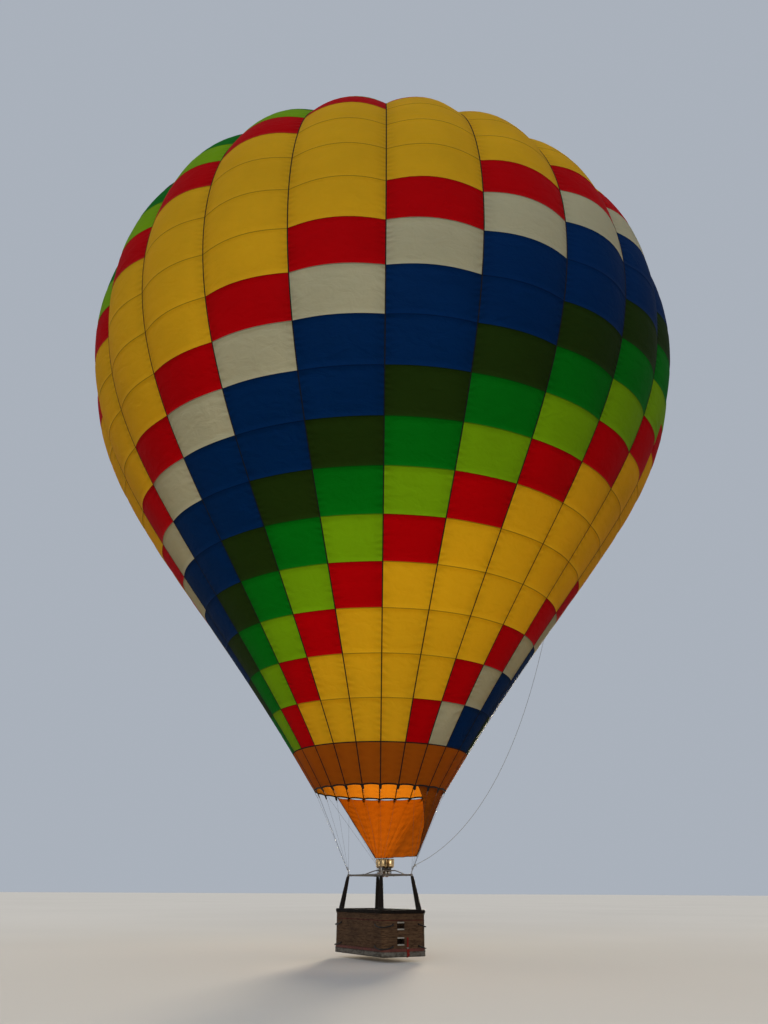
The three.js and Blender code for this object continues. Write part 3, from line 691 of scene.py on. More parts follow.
for g in range(GORES):
    bb, uu = b_rows[:, None], U[None, :]
    r_here = ring(bb)[0]
    edge = (1 - np.abs(uu)) * r_here * math.radians(7.5)      # metres to the nearer tape
    # cloth is pulled into short puckers along the tapes and lies in slow waves between them
    full = np.interp(bb, [0, 3, 8, 20, 21], [.35, .5, 1, 1, .5])
    lean = np.sin(TAU * bb / .43 + 2.1 * wobble(bb, uu * .2, 40 + g, low=.1, high=.5)) * np.sign(uu + 1e-9)
    puck = .009 * full * lean * np.exp(-edge / .16) * np.minimum(edge / .03, 1)
    slow = .010 * full * wobble(bb * .8, uu * .5, 90 + g) * np.minimum(edge / .3, 1)
    seam_pull = -.010 * full * np.exp(-(np.minimum(near_int, 1)[:, None] * PANEL / .07) ** 2) * np.minimum(edge / .25, 1)
    P = on_gore(bb, g, uu, puck + slow + seam_pull + raised[:, None] * np.ones_like(uu))
    used, mats = [], []
    face_mat = np.zeros((len(b_rows) - 1, COLS), int)
    for i, kind in enumerate(kind_rows):
        k = kind if kind >= 0 else -1 - kind
        col = REPEAT[(k - g - 2) % 12]
        mt = CLOTH[col] if kind >= 0 else SEAM[col]
        if mt not in mats:
            mats.append(mt)
        face_mat[i] = mats.index(mt)
    m = Build()
    m.grid(P, face_mat)
    o = m.make(f"gore_{g + 1:02d}_cloth", mats, "airframe", sharp=0, replaces=[f"gore_{g + 1:02d}"])

# ------------------------------------------------------------------ load tapes, edge tapes
m = Build()
bt = np.concatenate([np.linspace(-1, 20.9, 93)])
for j in range(GORES):
    a = 15.0 * j
    c = np.array([math.cos(math.radians(a)), math.sin(math.radians(a)), 0])
    rr = ring(bt)[0]
    lift = .002 + .015 * 2 * bulge(bt) / (rr * math.radians(7.5))
    inner, outer = on_tape(bt, a, lift), on_tape(bt, a, lift + .003)
    w = .0155
    R = np.stack([inner - w * c, inner + w * c, outer + w * c, outer - w * c], 1)
    m.grid(R, cu=True, flip=False)
    m.cap(R[0], flip=True)
    m.cap(R[-1])
# the tape where the heat-proof band is sewn to the coloured cloth, and the hem of the vent opening
for b0, w, o in ((0.0, .016, .003), (20.98, .030, .034)):
    t = np.linspace(0, 360, 193)[:-1]
    u_ = (t % 15) / 7.5 - 1
    base = o + (bulge(b0) * (1 - u_ ** 2) if b0 > 1 else 0 * t)
    db = w / PANEL
    R = np.stack([on_tape(b0 - db, t, base), on_tape(b0 + db, t, base), on_tape(b0 + db, t, base + .003), on_tape(b0 - db, t, base + .003)], 1)
    m.grid(R, cu=True, cv=True, flip=True)
m.make("load_tapes", [BLACK_WEB], "airframe", sharp=50)

# ------------------------------------------------------------------ heat-proof band, its hem and the tabs
SCALLOP = .032


def wire_foot(corner):
    _, sx, sy, _ = corner
    return np.array([sx * FRAME_W / 2, sy * FRAME_L / 2, zh(FRAME_H + .075)])


def corner_of(j):
    return CORNERS[((j + 6) // 6) % 4]


def wire_top(j):
    p = on_tape(-1, 15.0 * j, -.012)
    p[2] -= .006
    return p


def low_b(t):
    u = (t % 15) / 7.5 - 1
    return -1 + SCALLOP / PANEL * (1 - u * u) ** .8


t = np.linspace(0, 360, GORES * 12 + 1)[:-1]
v = np.linspace(0, 1, 11)[:, None]
u_ = (t % 15) / 7.5 - 1
bl = low_b(t)[None, :]
bb = bl + (0 - bl) * v
belly = .012 * (1 - u_[None, :] ** 2) * np.sin(PI * v) + .004 * wobble(t[None, :] / 9, bb * 2, 5) * (1 - np.abs(u_[None, :]) ** 4)
m = Build()
m.grid(on_tape(bb, t[None, :], belly), cu=True)
band = m.make("mouth_band_cloth", [NOMEX], "airframe", sharp=0, replaces=["mouth_band"])
m = Build()
bl = low_b(t)
db = .040 / PANEL
R = np.stack([on_tape(bl - .004, t, -.004), on_tape(bl + db, t, -.004), on_tape(bl + db, t, .005), on_tape(bl - .004, t, .005)], 1)
m.grid(R, cu=True, cv=True, flip=True)
TAB = .100
for j in range(GORES):
    p = on_tape(-1, 15.0 * j, .001)
    foot = wire_foot(corner_of(j))
    down = unit(foot - wire_top(j))
    side = np.array([math.cos(math.radians(15 * j)), math.sin(math.radians(15 * j)), 0])
    side = unit(side - down * (side @ down))
    out = np.cross(side, down)
    start = p - .02 * down
    for s in (-1, 1):                      # a folded loop: two thin layers
        L = np.linspace(0, TAB + .02, 6)
        w = np.interp(L, [0, .02, TAB, TAB + .02], [.044, .042, .032, .020])
        off = s * .0035 + np.zeros_like(L)
        off[-1] = 0
        mid = start + L[:, None] * down + off[:, None] * out
        R = np.stack([mid - w[:, None] * side - .0015 * out, mid + w[:, None] * side - .0015 * out,
                      mid + w[:, None] * side + .0015 * out, mid - w[:, None] * side + .0015 * out], 1)
        m.grid(R, cu=True, flip=True)
        m.cap(R[0])
        m.cap(R[-1], flip=True)
m.make("mouth_hem_and_tabs", [EDGE_WEB], "airframe", sharp=40)


# ------------------------------------------------------------------ flying wires
def ring_loop(at, direction, side, long, wide, n=20):
    """An oval link in the plane of direction and side."""
    t = np.arange(n) * TAU / n
    x, y = np.cos(t), np.sin(t)
    x = np.sign(x) * np.abs(x) ** .85
    return at + (long / 2 * x)[:, None] * direction + (wide / 2 * y)[:, None] * side


for corner in CORNERS:
    name, sx, sy, first = corner
    foot = wire_foot(corner)
    m = Build()
    tops = []
    for i in range(6):
        j = first + i
        top = wire_top(j)
        down = unit(foot - top)
        side = unit(np.cross(down, (0, 0, 1)))
        a = top + TAB * down * .93
        tops.append(a)
        # thimble through the tab, swaged ferrules, then the cable, drawn straight
        m.tube(ring_loop(a + .022 * down, down, side, .052, .026), .0026, 6, mat=1, closed=True)
        s = np.linspace(0, 1, 9)
        line = a + .045 * down + s[:, None] * (foot + unit(a - foot) * .10 - a - .045 * down)
        m.tube(line, .0024, 6, mat=0)
        m.tube([a + .045 * down, a + .085 * down], .0048, 8, mat=1)
        end = foot + unit(a - foot) * .10
        m.tube([end + unit(a - foot) * .055, end], .0048, 8, mat=1)
        m.tube(ring_loop(end - unit(a - foot) * .018, unit(a - foot), side, .045, .022), .0026, 6, mat=1, closed=True)
    # the karabiner that gathers six wires at the corner of the frame
    mean = unit(np.mean([unit(p - foot) for p in tops], 0))
    side = unit(np.cross(mean, (0, 0, 1)))
    m.tube(ring_loop(foot + .030 * mean, mean, side, .125, .066, 28), .0062, 10, mat=2, closed=True)
    m.tube([foot + .03 * mean + .033 * side - .03 * mean, foot + .03 * mean + .033 * side + .03 * mean], .0088, 12, mat=1)
    m.make(f"flying_wires_{name}_cables", [CABLE, STEEL, ALLOY], "airframe", replaces=[f"flying_wires_{name}"])

# ------------------------------------------------------------------ scoop
S_TO, S_LOW = 13.0, zh(2.370)


def wire_at(j):
    """Points of the wires of lines j at the height of the scoop's lower edge."""
    j = np.asarray(j, float)
    top = on_tape(-1, 15 * j, -.012) - np.array([0, 0, .006])
    foot = np.where((j < 5.5)[..., None], wire_foot(CORNERS[1]), wire_foot(CORNERS[2]))
    return foot + (top - foot) * ((S_LOW - foot[..., 2]) / (top[..., 2] - foot[..., 2]))[..., None]


def scoop_low(j):
    k = np.minimum(j, 11.0)
    t = np.clip(k - 5, 0, 1)[..., None]
    p = np.where(((k > 5) & (k < 6))[..., None], wire_at(np.full_like(k, 5.0)) * (1 - t) + wire_at(np.full_like(k, 6.0)) * t, wire_at(k))
    r = np.hypot(p[..., 0], p[..., 1])
    inset = np.interp(j, [2, 5], [.025, .060])
    return np.stack([p[..., 0] * (1 - inset / r), p[..., 1] * (1 - inset / r), p[..., 2]], -1)


def scoop_top(j):
    # the upper edge is pulled nearly straight from tab to tab, a little slack in the middle
    f = j % 1
    inside = -np.interp(j, [0, 1.5, 5, 7], [.060, .036, .036, .080])
    a, b = on_tape(-1, 15 * np.floor(j), inside), on_tape(-1, 15 * np.floor(j) + 15, inside)
    p = .35 * on_tape(-1, 15 * j, inside) + .65 * (a + (b - a) * f[..., None])
    p[..., 2] -= np.interp(j, [3, 5], [-.020, .055]) + .020 * 4 * f * (1 - f) * np.interp(j, [2, 4], [0, 1])
    return p


per, SV = 12, 36
j0 = np.linspace(0, S_TO, int(S_TO) * per + 1)
v = np.linspace(0, 1, SV + 1)
edge = np.interp(v, [0, .2, .5, .85, 1], [2.6, 2.1, 1.45, .72, .3])
edge = np.convolve(np.pad(edge, 3, mode="reflect", reflect_type="odd"), np.ones(7) / 7, "valid")
J = np.where(j0[None] >= 3, j0[None], edge[:, None] + (3 - edge[:, None]) * j0[None] / 3)
vv = v[:, None] + 0 * J
low, top = scoop_low(J), scoop_top(J)
outn = unit(np.stack([np.sin(np.radians(15 * J)), -np.cos(np.radians(15 * J)), -.55 + 0 * J], -1))
fx = (J % 1) * 2 - 1
# cloth pressed out a little between the wires, and creases that run down into the gathered lower edge
belly = .010 * (1 - fx ** 2) * np.sin(PI * vv)
rays = (np.sin(TAU * J * 2.6 + 1.3 * np.sin(J * 1.7)) + .6 * np.sin(TAU * J * 4.7 + 2.0 * np.sin(J * 2.9 + 1))) * np.exp(-vv / .38)
folds = (.0085 * rays + .008 * np.sin(TAU * J * 1.35 + .8) * np.exp(-((vv - .25) / .3) ** 2)
         + .012 * wobble(J * .45, vv * .9, 11) * np.sin(PI * vv))
free = np.interp(j0, [0, 2.0], [1, 0])[None] * .012 * np.sin(TAU * vv * 2.2 + .6)
P = low + (top - low) * vv[..., None] + (belly + folds * np.minimum(1, (1 - vv) / .08 + .25) + free * np.sin(PI * vv))[..., None] * outn
m = Build()
m.grid(P, 0)
scoop = m.make("scoop_sheet", [SCOOP], "airframe", sharp=0, replaces=["scoop"])
hem = Build()
for row, r_ in ((P[0], .0065), (P[-1], .005)):
    hem.tube(row, r_, 6)
for col in (P[:, 0], P[:, -1]):
    hem.tube(col, .0065, 6)
hem_o = hem.make("scoop_hem", [EDGE_WEB], "airframe")

# ------------------------------------------------------------------ parachute vent
VE, VIN = 20.4, -.070
rad_rows = np.concatenate([np.linspace(VE, 21.0, 5), np.linspace(21.1, 22, 8), np.linspace(22.12, 22.9, 7)])
m = Build()
mats = [CLOTH[c] for c in colour_names]
per = 8
t = np.linspace(0, 360, GORES * per + 1)[:-1]
u_ = (t % 15) / 7.5 - 1
P = []
for b in rad_rows:
    rip = .016 * np.interp(b, [20.4, 20.9, 22.9], [1, .6, 1.2]) * (1 - u_ ** 2) + .006 * np.sin(np.radians(t) * 72 + 3 * b) * np.interp(b, [20.4, 21.2], [1, .1])
    P.append(on_tape(b, t, VIN + rip * .6))
zc = P[-1][:, 2].mean()
rl = ring(22.9)[0]
for f in (.72, .45, .2):
    q = P[len(rad_rows) - 1].copy()
    q[:, :2] *= f
    q[:, 2] = zc + .034 * (1 - f) ** .9 + .006 * np.cos(np.radians(t) * 24) * f
    P.append(q)
P = np.array(P)
row_k = [int(math.floor(min(b, 22.99))) for b in list(rad_rows[1:] - .02)] + [22, 22, 22]
face_mat = np.array([[colour_names.index(REPEAT[(k - (c // per) - 2) % 12]) for c in range(len(t))] for k in row_k])
m.grid(P, face_mat, cu=True)
centre = np.array([0, 0, zc + .036])
n_ = len(t)
m.put(np.vstack([P[-1], centre]), np.stack([np.full(n_, n_), np.arange(n_), (np.arange(n_) + 1) % n_], -1), face_mat[-1])
vent = m.make("parachute_vent_cloth", mats, "vent", sharp=0, replaces=["parachute_vent"])
hem = Build()
hem.tube(on_tape(VE + .008, t, VIN + .004), .008, 6, closed=True)
hem.torus((0, 0, zc + .036), .07, .006, 24, 8)
for j in range(GORES):                     # stiffening tapes sewn along the seams of the vent
    bs = np.concatenate([np.linspace(VE, 22.9, 16)])
    line = on_tape(bs, 15.0 * j, VIN + .010)
    line = np.vstack([line, [[line[-1][0] * .6, line[-1][1] * .6, zc + .030], [line[-1][0] * .25, line[-1][1] * .25, zc + .040]]])
    hem.tube(line, .0060, 4)
hem_o = hem.make("parachute_vent_tapes", [BLACK_WEB], "vent")

# ------------------------------------------------------------------ crown ring and the tapes over the vent
m = Build()
bs = np.concatenate([np.linspace(20.75, CROWN_B, 22)])
for j in range(GORES):
    a = 15.0 * j
    c = np.array([math.cos(math.radians(a)), math.sin(math.radians(a)), 0])
    inner, outer = on_tape(bs, a, .012), on_tape(bs, a, .0155)
    w = np.interp(bs, [20.75, 21.2, 23.2, CROWN_B], [.024, .020, .017, .014])[:, None]
    R = np.stack([inner - w * c, inner + w * c, outer + w * c, outer - w * c], 1)
    m.grid(R, cu=True)
    m.cap(R[0], flip=True)
    m.cap(R[-1])
    # the loop that carries the tape round the ring
    q = on_tape(CROWN_B, a, .014)
    e = np.array([math.sin(math.radians(a)), -math.cos(math.radians(a)), 0])
    tt = np.linspace(-1.9, 1.9, 12)
    loop = e * .160 + np.array([0, 0, top_z - .010]) + np.stack([.036 * np.cos(tt + PI), 0 * tt, .0135 * np.sin(tt)], -1)[:, :1] * e + np.stack([0 * tt, 0 * tt, .0135 * np.sin(tt)], -1)
    R = np.stack([loop - .013 * c, loop + .013 * c], 1)
    outer_ = loop + np.stack([0 * tt, 0 * tt, .002 * np.sign(np.sin(tt) + 1e-9)], -1) - e * .002 * np.cos(tt)[:, None]
    R = np.concatenate([R, np.stack([outer_ + .013 * c, outer_ - .013 * c], 1)], 1)
    m.grid(R, cu=True)
m.make("crown_webs", [BLACK_WEB], "airframe", sharp=50, replaces=["crown_tapes"])
m = Build()
prof = [(.131, -.014), (.137, -.020), (.183, -.020), (.190, -.014), (.190, -.006), (.184, 0), (.137, 0), (.131, -.006)]
tt = np.arange(72) * TAU / 72
R = np.array([[(r * math.cos(x), r * math.sin(x), top_z + z) for x in tt] for r, z in prof])
m.grid(R, cu=True, cv=True)
m.make("crown_ring_metal", [ALLOY], "airframe", sharp=30)

# ------------------------------------------------------------------ burner frame
m = Build()
w_, l_, h_f = FRAME_W / 2, FRAME_L / 2, zh(FRAME_H)
for x0, y0, x1, y1 in ((w_, l_, w_, -l_), (-w_, -l_, -w_, l_), (-w_, l_, w_, l_), (w_, -l_, -w_, -l_)):
    p, q = np.array([x0, y0, h_f]), np.array([x1, y1, h_f])
    d = unit(q - p)
    m.tube(p + np.linspace(.02, np.linalg.norm(q - p) - .02, 12)[:, None] * d, TUBE, 20)
    for end, s in ((p, 1), (q, -1)):       # clamped sleeve at each corner
        m.tube([end + s * d * .02, end + s * d * .105], .0255, 20)
        m.tube([end + s * d * .099, end + s * d * .106], .0268, 20)
        m.lathe([(0, -.004), (.007, -.004), (.007, .004), (.005, .006), (0, .006)], 8, end + s * d * .06 + np.array([0, 0, .026]))
for corner in CORNERS:
    name, sx, sy, _ = corner
    top = np.array([sx * w_, sy * l_, h_f])
    foot = np.array([sx * FOOT_W, sy * FOOT_L, zh(WALL_TOP + RIM_H)])
    d = unit(foot - top)
    m.lathe([(0, -.032), (.014, -.029), (.026, -.018), (.031, 0), (.026, .018), (.014, .029), (0, .032)], 20, top)
    m.tube([top + d * .005, top + d * .120], .0285, 20)
    m.tube([top + d * .108, top + d * .120], .0305, 20)
    # upright lug with an eye for the karabiner
    lug = unit(wire_foot(corner) - top)
    side = unit(np.cross(lug, (sx, sy, 0)))
    m.block(top + lug * .045, (.010, .040, .062), .004, turn=np.stack([np.cross(side, lug), side, lug], 1))
    m.torus(top + lug * .075, .017, .0065, 20, 8, axis=np.cross(side, lug))
for s in (-1, 1):
    y, yf = BURNER_Y + s * .290, BURNER_Y + s * .330
    hp = zh(PIVOT_H)
    for sx in (-1, 1):
        a, b, c = np.array([sx * w_, yf, h_f]), np.array([sx * .150, y, hp]), np.array([0, y, hp])
        line = catmull([a, a * .55 + b * .45, b + (a - b) * .10, b + (c - b) * .22 + np.array([0, 0, .002]), c * .4 + b * .6, c + np.array([0, 0, 0])], 5)
        m.tube(line, .0125, 14)
        m.torus(a, .0225, .0055, 20, 8, axis=(0, 1, 0))
        m.tube([a + np.array([0, -.02, 0]), a + np.array([0, .02, 0])], .0262, 20)
    m.lathe([(0, -.017), (.020, -.017), (.022, -.014), (.022, .014), (.020, .017), (0, .017)], 20, (0, y, hp), (0, 1, 0))
m.make("burner_frame_tubes", [STEEL], "airframe", replaces=["burner_frame"])

# ------------------------------------------------------------------ gimbal ring
m = Build()


def rounded(wx, ly, c, n=10):
    out = []
    for sx, sy, a0 in ((1, 1, 0), (-1, 1, 90), (-1, -1, 180), (1, -1, 270)):
        for i in range(n + 1):
            a = math.radians(a0 + 90 * i / n)
            out.append((sx * (wx / 2 - c) + c * math.cos(a), sy * (ly / 2 - c) + c * math.sin(a)))
    return np.array(out)


hp = zh(PIVOT_H)
loop = rounded(.390 - .022, .420 - .022, .050)
P = np.column_stack([loop[:, 0], loop[:, 1] + BURNER_Y, np.full(len(loop), hp)])
sec = [(-.013, -.008), (-.010, -.011), (.010, -.011), (.013, -.008), (.013, .008), (.010, .011), (-.010, .011), (-.013, .008)]
m.section(P, sec, closed=True)
for k in (-1, 1):
    y0, y1 = BURNER_Y + k * (.210 - .004), BURNER_Y + k * (.290 - .018)
    m.tube([(0, y0, hp), (0, y1, hp)], .0105, 20)
    m.lathe([(0, -.006), (.019, -.006), (.019, .006), (0, .006)], 20, (0, BURNER_Y + k * .216, hp), (0, 1, 0))
    m.lathe([(0, -.004), (.017, -.004), (.017, .004), (0, .004)], 6, (0, BURNER_Y + k * .226, hp), (0, 1, 0))
    m.block((k * .184, BURNER_Y, hp), (.030, .052, .034), .005)
m.make("gimbal_ring_metal", [SOOTED_ALLOY], "gimbal", replaces=["gimbal_ring"])

# ------------------------------------------------------------------ burner block, levers and pilot lights
m = Build()   # 0 brass, 1 soot, 2 stainless, 3 rubber, 4 dial, 5 red grip
z0 = zh(0)
m.block((0, BURNER_Y, z0 + 2.058), (.250, .250, .020), .005, mat=1)
m.block((0, BURNER_Y, z0 + 1.985), (.088, .088, .125), .006, mat=0)
m.block((0, BURNER_Y, z0 + 1.998), (.236, .050, .060), .006, mat=0)
m.block((0, BURNER_Y, z0 + 1.998), (.050, .236, .060), .006, mat=0)
for sx in (-1, 1):
    for sy in (-1, 1):
        x, y = sx * .078, BURNER_Y + sy * .078
        m.lathe([(0, 1.930), (.026, 1.930), (.034, 1.938), (.034, 1.975), (.040, 1.980), (.040, 2.012), (.030, 2.018), (.030, 2.050), (0, 2.050)],
                20, (x, y, z0), mat=0)
        m.lathe([(0, 1.9265), (.012, 1.9265), (.012, 1.934), (0, 1.934)], 6, (x, y, z0), mat=2)
        # fuel elbow out to the side and its nut
        e = np.array([sx, sy, 0]) / math.sqrt(2)
        q = np.array([x, y, z0 + 1.992])
        m.tube([q, q + e * .045, q + e * .056 + np.array([0, 0, -.012]), q + e * .058 + np.array([0, 0, -.045])], .009, 10, mat=0)
        m.lathe([(0, -.009), (.013, -.009), (.013, .009), (0, .009)], 6, q + e * .058 + np.array([0, 0, -.035]), mat=0)
        m.tube([q + e * .058 + np.array([0, 0, -.040]), q + e * .058 + np.array([0, 0, -.062])], .0085, 10, mat=3)
for k in (-1, 1):
    # trunnion plates and pins
    m.block((k * .112, BURNER_Y, z0 + 2.000), (.026, .070, .110), .006, mat=2)
    m.tube([(k * .112, BURNER_Y, hp), (k * (.165 + .030 - .022 - .0012), BURNER_Y, hp)], .0105, 20, mat=2)
    m.lathe([(0, -.005), (.018, -.005), (.018, .005), (0, .005)], 20, (k * .131, BURNER_Y, hp), (1, 0, 0), mat=2)
    # blast valve handle: a bent bar under the block
    x = k * .060
    line = catmull([(x, BURNER_Y - .082, z0 + 1.930), (x, BURNER_Y - .082, z0 + 1.885), (x, BURNER_Y - .070, z0 + 1.864), (x, BURNER_Y - .045, z0 + 1.860),
                    (x, BURNER_Y + .045, z0 + 1.860), (x, BURNER_Y + .070, z0 + 1.864), (x, BURNER_Y + .082, z0 + 1.885), (x, BURNER_Y + .082, z0 + 1.930)], 5)
    m.tube(line, .0072, 12, mat=2)
    m.tube([(x, BURNER_Y - .050, z0 + 1.860), (x, BURNER_Y + .050, z0 + 1.860)], .0088, 14, mat=5)
    # pressure gauge with a bare face
    m.lathe([(0, -.013), (.026, -.013), (.029, -.009), (.029, .010), (.026, .012), (.024, .010), (.024, .0085), (0, .0085)], 28,
            (k * .045, BURNER_Y - .131, z0 + 1.962), (0, -1, 0), mat=2)
    m.lathe([(0, .0086), (.0235, .0086), (.0235, .0092), (0, .0092)], 28, (k * .045, BURNER_Y - .131, z0 + 1.962), (0, -1, 0), mat=4)
    # pilot light valve with its knob
    m.tube([(k * .105, BURNER_Y + .095, z0 + 1.955), (k * .124, BURNER_Y + .095, z0 + 1.955)], .007, 12, mat=0)
    m.lathe([(0, 0), (.016, 0), (.018, .004), (.018, .012), (.014, .015), (0, .015)], 12, (k * .122, BURNER_Y + .095, z0 + 1.955), (k, 0, 0), mat=3)
for k in (-1, 1):
    # folded heat shield under the plate, notched for the trunnions
    m.block((0, BURNER_Y + k * .1225, z0 + 2.0215), (.236, .003, .053), .001, mat=1)
    for sy in (-1, 1):
        m.block((k * .1225, BURNER_Y + sy * .0815, z0 + 2.0215), (.003, .077, .053), .001, mat=1)
m.make("burner_manifold", [BLOCK_BRASS, SOOT, STAINLESS, RUBBER, DIAL, RED_WEB], "burner", replaces=["burner_block"])

# ------------------------------------------------------------------ burner cans with their coils
CAN_R, CAN_S, CAN_LO, CAN_HI = .095, .110, 2.075, 2.300
for n_can, (sx, sy) in enumerate(((-1, -1), (1, -1), (1, 1), (-1, 1))):
    m = Build()   # 0 stainless, 1 heated steel, 2 soot
    at = np.array([sx * CAN_S, BURNER_Y + sy * CAN_S, zh(0)])
    wall = [(0, CAN_LO), (.050, CAN_LO), (.062, CAN_LO + .004), (.088, CAN_LO + .030), (CAN_R - .002, CAN_LO + .042), (CAN_R - .001, CAN_LO + .060),
            (CAN_R - .001, CAN_LO + .096), (CAN_R + .001, CAN_LO + .100), (CAN_R + .001, CAN_LO + .106), (CAN_R - .001, CAN_LO + .110),
            (CAN_R - .001, CAN_HI - .012), (CAN_R + .0012, CAN_HI - .007), (CAN_R + .0012, CAN_HI - .003), (CAN_R - .001, CAN_HI),
            (CAN_R - .004, CAN_HI - .002), (CAN_R - .004, CAN_LO + .046), (.060, CAN_LO + .010), (0, CAN_LO + .008)]
    m.lathe(wall, 48, at, mat=0)
    # vertical stiffening flutes pressed into the wall
    for i in range(16):
        a = TAU * i / 16
        e = np.array([math.cos(a), math.sin(a), 0])
        m.tube([at + e * (CAN_R - .001) + np.array([0, 0, z]) for z in (CAN_LO + .118, CAN_LO + .124, CAN_HI - .024, CAN_HI - .018)],
               [.001, .003, .003, .001], 6, mat=0)
    # vaporiser coil
    turns, rc = 7, .074
    t = np.linspace(0, turns, turns * 22 + 1)
    m.tube(at + np.stack([rc * np.cos(TAU * t), rc * np.sin(TAU * t), CAN_LO + .052 + (CAN_HI - .028 - CAN_LO - .052) * t / turns], -1), .0072, 8, mat=1)
    t = np.linspace(0, 5, 90)
    m.tube(at + np.stack([.052 * np.cos(-TAU * t), .052 * np.sin(-TAU * t), CAN_LO + .052 + .105 * t / 5], -1), .006, 8, mat=1)
    # jet ring on its cross bar
    m.torus(at + np.array([0, 0, CAN_LO + .034]), .036, .007, 28, 8, mat=2)
    for i in range(12):
        a = TAU * i / 12
        m.lathe([(0, 0), (.0028, 0), (.0022, .006), (0, .007)], 6, at + np.array([.036 * math.cos(a), .036 * math.sin(a), CAN_LO + .039]), mat=2)
    m.block(at + np.array([0, 0, CAN_LO + .022]), (.150, .012, .010), .002, mat=2)
    m.lathe([(0, CAN_LO - .0045), (.038, CAN_LO - .0045), (.040, CAN_LO - .003), (.040, CAN_LO), (0, CAN_LO)], 24, at, mat=2)
    m.tube([at + np.array([.022, .010, CAN_LO + .01]), at + np.array([.022, .010, CAN_LO + .12])], .005, 8, mat=0)
    m.make(f"burner_can_{n_can + 1}_steel", [CAN_STEEL_PAINTED_REFLECTION, HEATED, SOOT], "burner", replaces=[f"burner_can_{n_can + 1}"])

# ------------------------------------------------------------------ padded sleeves over the uprights
for corner in CORNERS:
    name, sx, sy, _ = corner
    top = np.array([sx * FRAME_W / 2, sy * FRAME_L / 2, zh(FRAME_H)])
    foot = np.array([sx * FOOT_W, sy * FOOT_L, zh(WALL_TOP + RIM_H)])
    d = unit(top - foot)
    high = top - d * .026
    t = np.linspace(0, 1, 46)
    a = np.arange(32) * TAU / 32
    mid = foot + (high - foot) * t[:, None]
    r = np.interp(t, [0, .03, .10, .5, .88, .96, 1], [.0725, .074, .0715, .060, .0475, .0435, .037])
    wav = wobble(a[None] * .9, t[:, None] * 7, 60 + sx + 3 * sy, low=.25, high=.9)
    sag = .0022 * np.sin(TAU * (t[:, None] * 9 + .25 * np.sin(a[None] * 2 + sx)))
    rr = r[:, None] + (.0022 * wav + sag) * np.sin(PI * np.clip(t, .02, .98))[:, None] ** .4
    # the seam where the sleeve is closed is drawn in
    seam_a = math.atan2(-sy, -sx)
    gap = np.abs((a - seam_a + PI) % TAU - PI)
    rr = rr - .007 * np.exp(-(gap / .10) ** 2)[None]
    P = mid[:, None] + np.stack([rr * np.cos(a)[None], rr * np.sin(a)[None], 0 * rr], -1)
    P[0, :, 2] = foot[2] + .0006
    m = Build()
    m.grid(P, cu=True)
    m.cap(P[0], flip=True)
    m.cap(P[-1])
    o = m.make(f"upright_{name}_sleeve", [SLEEVE], "airframe", sharp=0, replaces=[f"upright_{name}"])
    trim = Build()
    # laces across the seam, a cuff at the top and a strap at the foot
    for k in range(26):
        f = .06 + .86 * k / 25
        c = foot + (high - foot) * f
        rad_ = float(np.interp(f, t, r)) - .0015
        for q in (-1, 1):
            a0, a1 = seam_a - .16 * q, seam_a + .16 * q
            p0 = c + np.array([rad_ * math.cos(a0), rad_ * math.sin(a0), -.008])
            p1 = c + np.array([rad_ * math.cos(a1), rad_ * math.sin(a1), .010])
            trim.tube([p0, (p0 + p1) / 2 + .002 * np.array([math.cos(seam_a), math.sin(seam_a), 0]), p1], .0022, 5, mat=0)
    for f, wd in ((.975, .018), (.045, .022)):
        c = foot + (high - foot) * f
        rad_ = float(np.interp(f, t, r)) + .0015
        lo_c, hi_c = c - np.array([0, 0, wd / 2]), c + np.array([0, 0, wd / 2])
        for_ring = [(rad_ - .004, -wd / 2), (rad_, -wd / 2), (rad_ + .0005, 0), (rad_, wd / 2), (rad_ - .004, wd / 2)]
        trim.lathe(for_ring, 32, c, mat=0)
    trim_o = trim.make(f"upright_{name}_laces", [DARK_WEB], "airframe")

